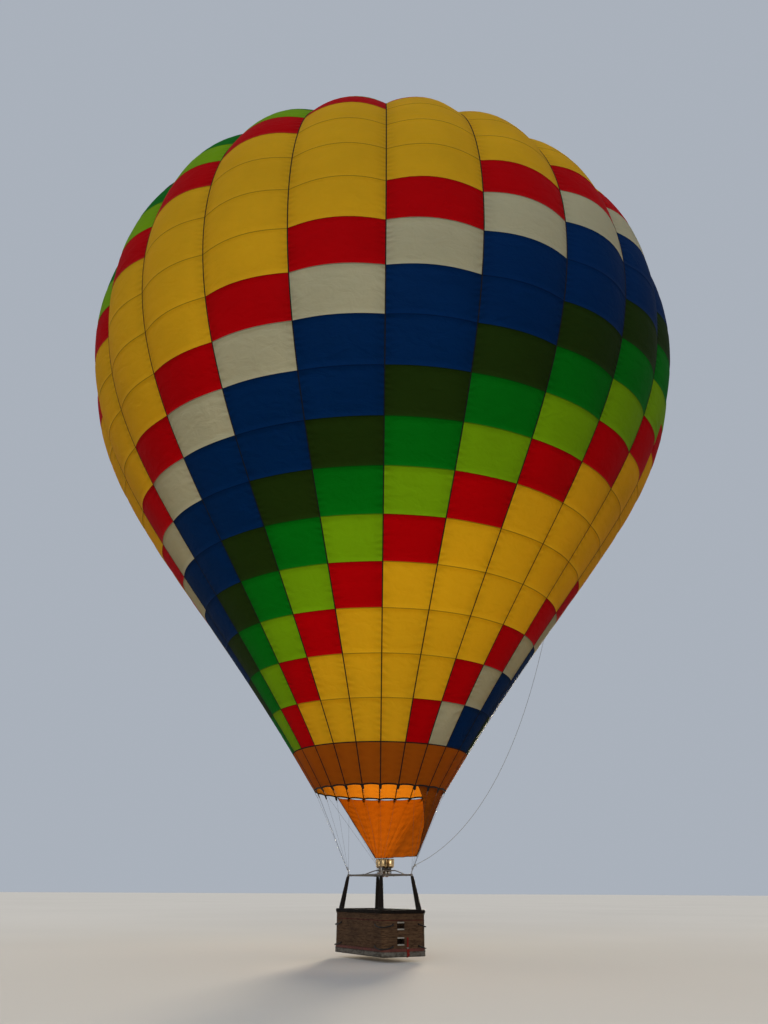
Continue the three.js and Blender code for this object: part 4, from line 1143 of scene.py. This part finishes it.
# ------------------------------------------------------------------ wicker
def wall_path(inset, step):
    """The outline of the basket drawn in by inset: points, outward normals and distance along."""
    W, L, c = BASKET_W - 2 * inset, BASKET_L - 2 * inset, CORNER - inset
    P, Nn = [], []
    sides = [((W / 2 - c, -L / 2), (W / 2 - c, -L / 2 + c), -90), ((W / 2, L / 2 - c), (W / 2 - c, L / 2 - c), 0),
             ((-W / 2 + c, L / 2), (-W / 2 + c, L / 2 - c), 90), ((-W / 2, -L / 2 + c), (-W / 2 + c, -L / 2 + c), 180)]
    # start in the middle of the front side, go round towards +X
    seg = [("line", (0, -L / 2), (W / 2 - c, -L / 2), (0, -1)), ("arc", (W / 2 - c, -L / 2 + c), -90),
           ("line", (W / 2, -L / 2 + c), (W / 2, L / 2 - c), (1, 0)), ("arc", (W / 2 - c, L / 2 - c), 0),
           ("line", (W / 2 - c, L / 2), (-W / 2 + c, L / 2), (0, 1)), ("arc", (-W / 2 + c, L / 2 - c), 90),
           ("line", (-W / 2, L / 2 - c), (-W / 2, -L / 2 + c), (-1, 0)), ("arc", (-W / 2 + c, -L / 2 + c), 180),
           ("line", (-W / 2 + c, -L / 2), (0, -L / 2), (0, -1))]
    total = 2 * (W - 2 * c) + 2 * (L - 2 * c) + TAU * c
    n = int(round(total / step))
    s = np.arange(n) * total / n
    pos = 0.0
    out_p, out_n = np.zeros((n, 2)), np.zeros((n, 2))
    for item in seg:
        if item[0] == "line":
            a, b = np.array(item[1]), np.array(item[2])
            ln = np.linalg.norm(b - a)
            k = (s >= pos - 1e-9) & (s < pos + ln - 1e-9)
            out_p[k] = a + (s[k] - pos)[:, None] / ln * (b - a)
            out_n[k] = item[3]
        else:
            ln = c * PI / 2
            k = (s >= pos - 1e-9) & (s < pos + ln - 1e-9)
            ang = np.radians(item[2]) + (s[k] - pos) / c
            nn = np.stack([np.cos(ang), np.sin(ang)], -1)
            out_p[k] = np.array(item[1]) + c * nn
            out_n[k] = nn
        pos += ln
    return out_p, out_n, s, total


def weave(m, pts, nrm, phase, z0, z1, pitch, amp, rc, nphi=4, mat=0, closed=False, red=None, hole=None):
    """Rows of cane woven in and out of stakes. phase counts stakes along the line."""
    K = int(round((z1 - z0) / pitch))
    pitch = (z1 - z0) / K
    phi = np.radians(np.linspace(-80, 80, nphi))
    for k in range(K):
        zk = z0 + (k + .5) * pitch
        over = amp * np.cos(PI * phase + PI * k) + .0012 * np.sin(phase * .37 + 1.7 * k)
        R = np.zeros((nphi, len(pts), 3))
        for i, f in enumerate(phi):
            offs = over + rc * math.cos(f)
            R[i, :, :2] = pts + offs[:, None] * nrm
            R[i, :, 2] = zk + pitch * .53 * math.sin(f) + .0008 * np.sin(phase * .8 + k * 2.3)
        mt = red(zk - zh(0)) if red else mat
        keep = None
        if hole is not None:
            nu = len(pts) if closed else len(pts) - 1
            mid = (pts + np.roll(pts, -1, 0))[:nu] / 2
            bad = hole(mid[:, 0], mid[:, 1], zk - zh(0))
            keep = np.broadcast_to(~bad, (nphi - 1, nu))
        m.grid(R, mt, cu=closed, keep=keep, flip=False)


STEP_HOLES = [(-.155, .713, .140, .115, -1), (-.155, .368, .140, .115, -1), (.155, .713, .140, .115, 1), (.155, .368, .140, .115, 1)]


def in_hole(x, y, h):
    bad = np.zeros(len(x), bool)
    for hx, hh, w, t_, e in STEP_HOLES:
        if abs(h - hh) < t_ / 2 + .004:
            bad |= (np.abs(x - hx) < w / 2 + .002) & (y * e > BASKET_L / 2 - .12)
    return bad


WZ0, WZ1 = zh(.061), zh(.990)
STAKE = .0548
P_, N_, s_, tot = wall_path(.0115, STAKE / 3)
n_all = len(P_)
bounds_s = [0, tot * .5]
# four pieces that meet at the middles of the corners
seg_at = []
half_front = (BASKET_W - .023) / 2 - (CORNER - .0115)
arc = (CORNER - .0115) * PI / 2
long_side = (BASKET_L - .023) - 2 * (CORNER - .0115)
cuts = [half_front + arc / 2, half_front + arc + long_side + arc / 2, half_front * 3 + arc * 2 + long_side + arc / 2,
        half_front * 3 + arc * 3 + long_side * 2 + arc / 2]
cut_i = [int(round(c / tot * n_all)) for c in cuts]
names = ["right", "back", "left", "front"]
for q in range(4):
    i0, i1 = cut_i[q], cut_i[(q + 1) % 4]
    if i1 <= i0:
        i1 += n_all
    idx = np.arange(i0, i1 + 1) % n_all
    ph = np.arange(i0, i1 + 1) / 3.0
    m = Build()
    weave(m, P_[idx], N_[idx], ph, WZ0, WZ1, .0116, .0042, .0058, 4, hole=in_hole,
          red=lambda h: 1 if (.822 < h < .846 or .128 < h < .150) else 0)
    m.make(f"wicker_{names[q]}", [CANE, CANE_RED], "airframe", sharp=0, replaces=["basket_wall"] if q == 0 else ())
Q_, M_, sq, tq = wall_path(.0305, STAKE / 2)
m = Build()
weave(m, Q_, -M_, np.arange(len(Q_)) / 2.0, WZ0, WZ1, .0155, .0035, .0055, 3, closed=True, hole=in_hole)
# the inner rows face inwards, so their faces are turned over below
inner_w = m
m2 = Build()
for f, mm_, v_ in zip(m.f, m.m, m.v):
    pass
for block_v in m.v:
    m2.v.append(block_v)
m2.f = [f[:, ::-1] for f in m.f]
m2.m, m2.n = m.m, m.n
# stakes: upright rods between the two faces
n_st = int(round(tot / STAKE))
for i in range(n_st):
    k = int(i * len(P_) / n_st) % len(P_)
    c = P_[k] - N_[k] * .0085
    if in_hole(np.array([c[0]]), np.array([c[1]]), .713)[0] or in_hole(np.array([c[0]]), np.array([c[1]]), .368)[0]:
        continue
    m2.tube([(c[0], c[1], WZ0), (c[0], c[1], WZ1)], .0052, 6, caps=False)
m2.make("wicker_inner", [CANE_IN], "airframe", sharp=0)

# the stakes and the backs of the canes close the wall between the two faces, in a sheet coloured far darker than the
# cane as painted shade
Q_, M_, sq, tq = wall_path(.020, STAKE / 2)
m = Build()
zs = np.linspace(WZ0, WZ1, 82)
C = np.concatenate([np.broadcast_to(Q_, (len(zs),) + Q_.shape), np.broadcast_to(zs[:, None, None], (len(zs), len(Q_), 1))], -1)
mid = (Q_ + np.roll(Q_, -1, 0)) / 2
keep = np.array([~in_hole(mid[:, 0], mid[:, 1], z - zh(0)) for z in (zs[1:] + zs[:-1]) / 2])
m.grid(C, cu=True, keep=keep)
m.make("wicker_core_painted_shade", [SHADED_CANE_CORE], "airframe", sharp=0)

# step holes: hide frames on both faces and a lining between them
m = Build()
for hx, hh, w, t_, e in STEP_HOLES:
    yo, yi = e * BASKET_L / 2, e * (BASKET_L / 2 - WALL)
    for y, s in ((yo + e * .0045, 1), (yi - e * .0045, -1)):
        c = rounded(w + .034, t_ + .034, .018, 5)
        P = np.column_stack([hx + c[:, 0], np.full(len(c), y), zh(hh) + c[:, 1]])
        sec = [(-.020, -.003), (-.018, -.0045), (.018, -.0045), (.020, -.003), (.020, .003), (.018, .0045), (-.018, .0045), (-.020, .003)]
        T, N, B = frames(P, True)
        radial = unit(P - np.array([hx, y, zh(hh)]))
        R = np.stack([P + a * .9 * radial + b * np.array([0, e * s, 0]) for a, b in sec], 1)
        m.grid(R, 2, cu=True, cv=True)
        for top_ in (-1, 1):               # a pale pad sewn along the upper and the lower edge
            at = np.array([hx, y + e * s * .0035, zh(hh) + top_ * (t_ / 2 + .019)])
            m.block(at, (w + .062, .009, .034), .004, mat=0)
            for q in range(9):
                for o_ in (-.012, .012):
                    p = at + np.array([(q - 4) * .022, e * s * .0046, o_])
                    m.tube([p - np.array([.006, 0, 0]), p + np.array([0, e * s * .0012, 0]), p + np.array([.006, 0, 0])], .0012, 4, mat=1)
        for i in range(22):                 # stitches
            f = i / 22 * len(c)
            k = int(f) % len(c)
            p = P[k] + .012 * radial[k] + np.array([0, e * s * .0048, 0])
            tq_ = T[k]
            m.tube([p - tq_ * .005, p + np.array([0, e * s * .0012, 0]), p + tq_ * .005], .0013, 4, mat=1)
    c = rounded(w, t_, .014, 5)
    ys = np.linspace(yo, yi, 4)
    R = np.array([[(hx + p[0], y, zh(hh) + p[1]) for p in c] for y in ys])
    m.grid(R, 2, cu=True, flip=(e < 0))
m.make("step_hole_frames", [PALE_HIDE, DARK_WEB, LEATHER], "airframe", sharp=40)

# ------------------------------------------------------------------ rim: a stuffed hide roll
P2, N2, s2, t2 = wall_path(-.025 + RIM_W / 2, .018)
n = len(P2)
ph = s2 / t2 * TAU
a = np.linspace(0, TAU, 29)[:-1]
ex = 3.0
cx, cz = np.cos(a), np.sin(a)
shape_b = np.sign(cx) * np.abs(cx) ** (2 / ex) * RIM_W / 2
shape_n = np.sign(cz) * np.abs(cz) ** (2 / ex) * RIM_H / 2
crown = np.where(cz > 0, 1 + .0 * cz, 1)
lump = 1 + .020 * wobble(s2[:, None] * .9, a[None] * .35, 3, low=.4, high=2.2)
stitch = .003 * np.maximum(np.cos(s2 / .075 * TAU), 0)[:, None] * np.exp(-((a[None] - PI * 1.35) / .35) ** 2)
stitch = stitch + .003 * np.maximum(np.cos(s2 / .075 * TAU), 0)[:, None] * np.exp(-((a[None] - PI * 1.65) / .35) ** 2)
R = np.zeros((n, len(a), 3))
off = (shape_b[None] * lump * .985)
R[..., :2] = P2[:, None] + off[..., None] * N2[:, None]
R[..., 2] = zh(WALL_TOP + RIM_H / 2) + shape_n[None] * np.minimum(lump, 1.0) - stitch * 0
R[..., 2] = np.clip(R[..., 2], zh(WALL_TOP + .0004), zh(WALL_TOP + RIM_H - .0002))
R[..., :2] -= (stitch * np.sign(shape_b)[None])[..., None] * N2[:, None]
m = Build()
m.grid(R, cu=True, cv=True, flip=True)
rim = m.make("basket_rim_roll", [LEATHER], "airframe", sharp=0, replaces=["basket_rim"])
m = Build()
# thongs that lace the roll to the wicker, inside and out, and the joins of the hide at its top
for k in range(int(t2 / .075)):
    i = int(k * .075 / t2 * n) % n
    j = int((k * .075 + .026) / t2 * n) % n
    for s in (-1, 1):
        o0 = (RIM_W / 2 + .001) * s
        p0 = np.array([*(P2[i] + N2[i] * o0), zh(WALL_TOP + .034)])
        p1 = np.array([*(P2[j] + N2[j] * (o0 - s * .028)), zh(WALL_TOP - .034)])
        pm = (p0 + p1) / 2 + np.array([*(N2[i] * s * .004), 0])
        m.tube([p0 + np.array([0, 0, .010]) - np.array([*(N2[i] * s * .004), 0]), p0, pm, p1, p1 - np.array([*(N2[j] * s * .006), .004])], .0030, 5)
for frac in (.06, .19, .31, .44, .56, .69, .81, .94):
    i = int(frac * n)
    band_ = np.array([[*(P2[i] + N2[i] * shape_b[q] * 1.012), zh(WALL_TOP + RIM_H / 2) + shape_n[q] * 1.0] for q in range(len(a))])
    keep_ = band_[:, 2] > zh(WALL_TOP + .004)
    band_ = band_[keep_]
    m.tube(band_[np.argsort(-((np.arctan2(band_[:, 2] - zh(WALL_TOP + RIM_H / 2), (band_[:, :2] - P2[i]) @ N2[i])) % TAU))] * np.array([1, 1, 1]), .0022, 5, caps=False)
m.make("rim_lacing", [DARK_WEB], "airframe")

# ------------------------------------------------------------------ hide skirt round the base
def wrapped(m, h0, h1, out, thick, mat=0, wave=.002, seed=1, flare=0.0, rows=7):
    """A strip of hide round the basket from height h0 to h1, out metres outside the wall."""
    Pp, Nn, ss, tt = wall_path(-out, .022)
    z = np.linspace(0, 1, rows)
    w1 = wave * wobble(ss[None] * .8, z[:, None] * .6, seed, low=.4, high=2.0)
    prof = out * 0 + flare * (1 - z) ** 2
    fr, bk = [], []
    for q in range(rows):
        o1 = w1[q] + prof[q] + thick / 2
        zz = zh(h0 + (h1 - h0) * z[q]) + .003 * wobble(ss * .7, ss * 0 + q * .1, seed + 5, low=.2, high=.9) * (1 if 0 < q < rows - 1 else .6)
        fr.append(np.column_stack([Pp + Nn * (o1 + 0)[:, None], zz]))
        bk.append(np.column_stack([Pp + Nn * (w1[q] * .3 + prof[q] - thick / 2)[:, None], zz]))
    loop = np.array(fr + bk[::-1])
    m.grid(loop, mat, cu=True, cv=True)
    return Pp, Nn, ss, tt


m = Build()
Pp, Nn, ss, tt_ = wrapped(m, .020, .134, .0075, .008, 0, .0018, 21, flare=.002)
for k in range(int(tt_ / .05)):              # lacing along its upper edge
    i, j = int(k * .05 / tt_ * len(ss)) % len(ss), int((k * .05 + .02) / tt_ * len(ss)) % len(ss)
    p0 = np.array([*(Pp[i] + Nn[i] * .0055), zh(.118)])
    p1 = np.array([*(Pp[j] + Nn[j] * .0050), zh(.150)])
    m.tube([p0, (p0 + p1) / 2 + np.array([*(Nn[i] * .003), 0]), p1], .0026, 5, mat=1)
for k in range(int(tt_ / .16)):              # nails along its lower edge
    i = int(k * .16 / tt_ * len(ss)) % len(ss)
    m.lathe([(0, 0), (.0065, 0), (.005, .0025), (0, .004)], 8, (*(Pp[i] + Nn[i] * .0060), zh(.036)), (*Nn[i], 0), mat=2)
m.make("base_skirt_hide", [HIDE_GREY, DARK_WEB, STEEL], "airframe", sharp=40, replaces=["base_skirt"])
m = Build()
Pp, Nn, ss, tt_ = wrapped(m, .136, .205, .0022, .005, 0, .0012, 33)
for k in range(int(tt_ / .05)):
    i, j = int(k * .05 / tt_ * len(ss)) % len(ss), int((k * .05 + .022) / tt_ * len(ss)) % len(ss)
    p0 = np.array([*(Pp[i] + Nn[i] * .0045), zh(.190)])
    p1 = np.array([*(Pp[j] + Nn[j] * .0045), zh(.218)])
    m.tube([p0, (p0 + p1) / 2 + np.array([*(Nn[i] * .003), 0]), p1], .0026, 5, mat=1)
m.make("base_hide_band", [HIDE_RED, DARK_WEB], "airframe", sharp=40)

# ------------------------------------------------------------------ rope handles round the corners
m = Build()
for sx in (-1, 1):
    for sy in (-1, 1):
        for h in (.745, .255):
            cx_, cy_ = sx * (BASKET_W / 2 - CORNER), sy * (BASKET_L / 2 - CORNER)
            R0 = CORNER + .029
            path = []
            ya, xa = sy * .905, sx * .385            # where the rope comes through the two walls
            L1, L2, La = abs(cy_ - ya), abs(cx_ - xa), R0 * PI / 2
            tot_ = L1 + La + L2
            for s in np.linspace(0, tot_, 34):
                if s < L1:
                    p = (sx * (BASKET_W / 2 + .029), ya + (cy_ - ya) * s / L1 if L1 > 0 else ya)
                elif s < L1 + La:
                    q = (s - L1) / La * PI / 2
                    p = (cx_ + sx * R0 * math.cos(q), cy_ + sy * R0 * math.sin(q))
                else:
                    p = (cx_ + (xa - cx_) * (s - L1 - La) / L2, sy * (BASKET_L / 2 + .029))
                f = s / tot_
                path.append((p[0], p[1], zh(h) - .062 * 4 * f * (1 - f)))
            path = np.array(path)
            a0 = path[0] - np.array([sx * .050, 0, -.004])
            a1 = path[-1] - np.array([0, sy * .050, -.004])
            # pull the ends in towards the wall so the rope leaves its hole squarely
            k = np.minimum(np.arange(34), np.arange(34)[::-1])
            ease = np.clip(1 - k / 4, 0, 1) * .020
            path[:17, 0] -= sx * ease[:17]
            path[17:, 1] -= sy * ease[17:]
            line = catmull(np.vstack([a0, path, a1]), 2)
            m.tube(line, .0150, 10)
            for p, d in ((path[0], np.array([sx, 0, 0])), (path[-1], np.array([0, sy, 0]))):
                at = p.copy()
                at[0 if d[0] else 1] = (sx * BASKET_W / 2 if d[0] else sy * BASKET_L / 2)
                m.lathe([(.012, -.004), (.024, -.004), (.026, .002), (.022, .006), (.012, .005)], 16, at, d, mat=1)
m.make("rope_handles", [DARK_ROPE, LEATHER], "airframe", sharp=50)

# ------------------------------------------------------------------ red strap at the cylinders' end
m = Build()
yw = -BASKET_L / 2
pts_ = [(.045, yw + .004, zh(.455)), (.045, yw - .010, zh(.448)), (.045, yw - .012, zh(.40)), (.044, yw - .011, zh(.30)), (.043, yw - .014, zh(.215)),
        (.040, yw - .021, zh(.15)), (.036, yw - .024, zh(.08)), (.036, yw - .022, zh(.028)), (.037, yw - .004, zh(.012)), (.038, yw + .06, zh(.0105))]
line = catmull(pts_, 6)
T, N, B = frames(line, up=(1, 0, 0))
R = np.stack([line + .0225 * N + .0013 * B, line - .0225 * N + .0013 * B, line - .0225 * N - .0013 * B, line + .0225 * N - .0013 * B], 1)
m.grid(R, cu=True, flip=True)
tail = catmull([(.062, yw - .026, zh(.20)), (.068, yw - .034, zh(.16)), (.060, yw - .030, zh(.11)), (.071, yw - .036, zh(.075)), (.064, yw - .031, zh(.040))], 6)
T, N, B = frames(tail, up=(1, .25, 0))
R = np.stack([tail + .021 * N + .0013 * B, tail - .021 * N + .0013 * B, tail - .021 * N - .0013 * B, tail + .021 * N - .0013 * B], 1)
m.grid(R, cu=True, flip=True)
m.cap(R[0])
m.cap(R[-1], flip=True)
m.block((.043, yw - .021, zh(.214)), (.062, .010, .042), .004, mat=1)
m.block((.043, yw - .027, zh(.214)), (.040, .006, .012), .002, mat=1)
m.make("red_strap_webbing", [RED_WEB, STEEL], "airframe", sharp=50)

# ------------------------------------------------------------------ runners
for i, x in enumerate((-.470, 0, .470)):
    m = Build()
    L, W2, H = 2.440, .090, RUNNER_H
    ys = np.concatenate([[-L / 2, -L / 2 + .03, -L / 2 + .08], np.linspace(-L / 2 + .16, L / 2 - .16, 24), [L / 2 - .08, L / 2 - .03, L / 2]])
    rise = np.interp(np.abs(ys), [L / 2 - .10, L / 2 - .03, L / 2], [0, .006, .016])
    rows = []
    for y, up_ in zip(ys, rise):
        nz = .0006 * math.sin(y * 31 + i) + .0004 * math.sin(y * 83)
        c = .005
        w2 = W2 / 2 + nz
        rows.append([(x - w2 + c, y, zh(up_)), (x + w2 - c, y, zh(up_)), (x + w2, y, zh(up_ + c)), (x + w2, y, zh(H - c)), (x + w2 - c, y, zh(H)),
                     (x - w2 + c, y, zh(H)), (x - w2, y, zh(H - c)), (x - w2, y, zh(up_ + c))])
    R = np.array(rows)
    m.grid(R, 0, cu=True, flip=True)
    m.cap(R[0])
    m.cap(R[-1], flip=True)
    for y in np.linspace(-L / 2 + .2, L / 2 - .2, 7):
        m.lathe([(0, 0), (.010, 0), (.010, .0012), (0, .0018)], 12, (x, y, zh(.0016)), (0, 0, -1), mat=1)
    m.make(f"runner_{i + 1}_board", [RUNNER, STEEL], "airframe", sharp=40, replaces=[f"runner_{i + 1}"])

# ------------------------------------------------------------------ partitions
CROSS_Y = -.520
IN_W, IN_L = BASKET_W - 2 * WALL, BASKET_L - 2 * WALL
for name, p0, p1, node in (("cross", (-IN_W / 2 + .004, CROSS_Y), (IN_W / 2 - .004, CROSS_Y), "partition_cross"),
                           ("long", (0, CROSS_Y + .026), (0, IN_L / 2 - .004), "partition_long")):
    p0, p1 = np.array(p0), np.array(p1)
    ln = np.linalg.norm(p1 - p0)
    ns = int(ln / (STAKE / 2))
    s = np.linspace(0, 1, ns + 1)
    d = (p1 - p0) / ln
    nn = np.array([d[1], -d[0]])
    m = Build()
    core = np.array([[(*p0, z), (*p1, z)] for z in (zh(.061), zh(.905))])
    # the partition's middle sheet, in painted shade far darker than the cane
    m.grid(core, 1)
    for side in (1, -1):
        pts_ = p0 + s[:, None] * (p1 - p0) + side * nn * .0145
        b2 = Build()
        weave(b2, pts_, np.broadcast_to(side * nn, pts_.shape), np.arange(ns + 1) / 2.0 + (0 if side > 0 else 1), zh(.061), zh(.905), .0155, .0035, .0055, 3)
        b2.f = [f if side > 0 else f[:, ::-1] for f in b2.f]
        for v__, f__, m__ in zip(b2.v, b2.f, b2.m):
            pass
        base_n = m.n
        m.v += b2.v
        m.f += [f + base_n for f in b2.f]
        m.m += b2.m
        m.n += b2.n
    m.make(f"partition_{name}_wicker", [CANE_IN, SHADED_CANE_CORE], "airframe", sharp=0, replaces=[node])
    roll = Build()
    sp = np.linspace(0, 1, 60)
    line = np.column_stack([p0 + sp[:, None] * (p1 - p0), np.full(60, zh(.928))])
    q = np.arange(16) * TAU / 16
    bump_ = 1 + .03 * wobble(sp[:, None] * ln * 1.2, q[None] * .3, 71, low=.5, high=2)
    R = line[:, None] + (.0255 * np.cos(q)[None] * bump_)[..., None] * np.array([*nn, 0]) + (.030 * np.sin(q)[None] * bump_)[..., None] * np.array([0, 0, 1])
    roll.grid(R, cu=True)
    roll.cap(R[0], flip=True)
    roll.cap(R[-1])
    o = roll.make(f"partition_{name}_roll", [LEATHER], "airframe", sharp=0)

# ------------------------------------------------------------------ fuel cylinders in padded jackets
for i, (x, y) in enumerate(((-.445, -1.115), (.445, -1.115), (-.445, -.740), (.445, -.740))):
    m = Build()   # 0 stainless, 1 jacket, 2 strap, 3 brass
    at = (x, y, zh(.0607))
    m.lathe([(0, 0), (.118, 0), (.132, .008), (.146, .030), (.146, .690), (.135, .722), (.112, .748), (.070, .766), (0, .772)], 40, at, mat=0)
    a = np.arange(40) * TAU / 40
    zz = np.linspace(.045, .675, 26)
    rr = .1485 + .0012 * wobble(a[None] * .8, zz[:, None] * 6, 80 + i) + .0012 * np.sin(zz[:, None] / .105 * TAU)
    R = np.array(at) + np.stack([rr * np.cos(a)[None], rr * np.sin(a)[None], np.broadcast_to(zz[:, None], rr.shape)], -1)
    m.grid(R, 1, cu=True)
    for z in (.044, .676):
        m.lathe([(.145, z - .004), (.1495, z - .003), (.1495, z + .003), (.145, z + .004)], 40, at, mat=2)
    for z in (.20, .52):
        m.lathe([(.148, z - .020), (.1505, z - .019), (.1505, z + .019), (.148, z + .020)], 40, at, mat=2)
    for q in range(3):                       # collar with three hand holes between posts
        a0 = TAU * q / 3
        e = np.array([math.cos(a0), math.sin(a0), 0])
        m.tube([np.array(at) + e * .088 + np.array([0, 0, .745]), np.array(at) + e * .088 + np.array([0, 0, .840])], .008, 10, mat=0)
    m.torus(np.array(at) + np.array([0, 0, .845]), .088, .0085, 40, 10, mat=0)
    m.lathe([(0, .765), (.022, .765), (.022, .790), (.015, .796), (.015, .815), (0, .815)], 16, at, mat=3)
    m.tube([np.array(at) + np.array([0, 0, .80]), np.array(at) + np.array([.045, 0, .80])], .010, 12, mat=3)
    m.lathe([(0, 0), (.018, 0), (.020, .004), (.020, .014), (.016, .018), (0, .018)], 12, (x, y, zh(.0607 + .815)), mat=3)
    m.make(f"fuel_cylinder_{i + 1}_jacketed", [STAINLESS, JACKET, DARK_WEB, BRASS], "airframe", replaces=[f"fuel_cylinder_{i + 1}"])

# ------------------------------------------------------------------ floor board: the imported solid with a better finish
for o in [nodes["basket_floor"]]:
    o.data.materials.clear()
    o.data.materials.append(PLY)

# ------------------------------------------------------------------ studio: floor, light
fl = Build()
S = 1500.0
fl.put([(-S, -S, FLOOR_Z), (S, -S, FLOOR_Z), (S, S, FLOOR_Z), (-S, S, FLOOR_Z)], [(0, 1, 2, 3)])
n = Nodes("studio_floor")
FLOOR_MAT = n.done(n.principled(n.mix(n.range(n.noise(.08, 2), .3, .7, 0, 1), (.58, .58, .57), (.61, .61, .60)), 1.0, spec=.0))
me = bpy.data.meshes.new("studio_floor")
me.from_pydata(fl.v[0].tolist(), [], [(0, 1, 2, 3)])
me.materials.append(FLOOR_MAT)
floor = bpy.data.objects.new("studio_floor", me)
bpy.context.scene.collection.objects.link(floor)

world = bpy.data.worlds.new("studio")
bpy.context.scene.world = world
world.use_nodes = True
bg = world.node_tree.nodes["Background"]
bg.inputs["Strength"].default_value = .50
wn, wl = world.node_tree.nodes, world.node_tree.links
way, split, level, tint = wn.new("ShaderNodeTexCoord"), wn.new("ShaderNodeSeparateXYZ"), wn.new("ShaderNodeMapRange"), wn.new("ShaderNodeMix")
wl.new(way.outputs["Generated"], split.inputs[0])
wl.new(split.outputs[2], level.inputs[0])
for socket, value in zip(level.inputs[1:5], (-.30, -.01, 0.0, 1.0)):
    socket.default_value = value
tint.data_type = "RGBA"
wl.new(level.outputs[0], tint.inputs[0])
tint.inputs[6].default_value = (.24, .21, .16, 1)      # what the ground sends up
tint.inputs[7].default_value = (.80, .88, 1.0, 1)
wl.new(tint.outputs[2], bg.inputs["Color"])
floor.visible_diffuse = False


def sun(name, towards, energy, angle, color):
    d = bpy.data.lights.new(name, "SUN")
    d.energy, d.angle, d.color = energy, math.radians(angle), color
    o = bpy.data.objects.new(name, d)
    o.rotation_mode = "QUATERNION"
    o.rotation_quaternion = Vector(towards).to_track_quat("-Z", "Y")
    bpy.context.scene.collection.objects.link(o)


# a soft warm light from low behind the balloon shines through its cloth; a broad soft one fills the front
el, az = math.radians(7.5), math.radians(-9)
flat = Vector((ahead.x * math.cos(az) - ahead.y * math.sin(az), ahead.x * math.sin(az) + ahead.y * math.cos(az), 0))
sun("back_light", -Vector((flat.x * math.cos(el), flat.y * math.cos(el), math.sin(el))), 9.8, 12, (1.0, .84, .62))
sun("fill_light", Vector((.60, .80, -.05)), 2.4, 50, (1.0, .96, .88))

# a soft glow inside the lower cone
d = bpy.data.lights.new("inner_glow", "AREA")
d.shape, d.size, d.energy, d.color, d.spread = "DISK", 4.0, 130, (1.0, .82, .55), math.radians(90)
glow = bpy.data.objects.new("inner_glow", d)
side = Vector((ahead.y, -ahead.x, 0))
start, goal = ahead * 3.5 + side * .8 + Vector((0, 0, -2.5)), -ahead * 6.5 - side * .8 + Vector((0, 0, -8.6))
glow.location = start
glow.rotation_mode = "QUATERNION"
glow.rotation_quaternion = (goal - start).to_track_quat("-Z", "Y")
glow.visible_camera = glow.visible_glossy = False
bpy.context.scene.collection.objects.link(glow)

bpy.context.scene.view_settings.view_transform = "Standard"
bpy.context.scene.view_settings.look = "None"
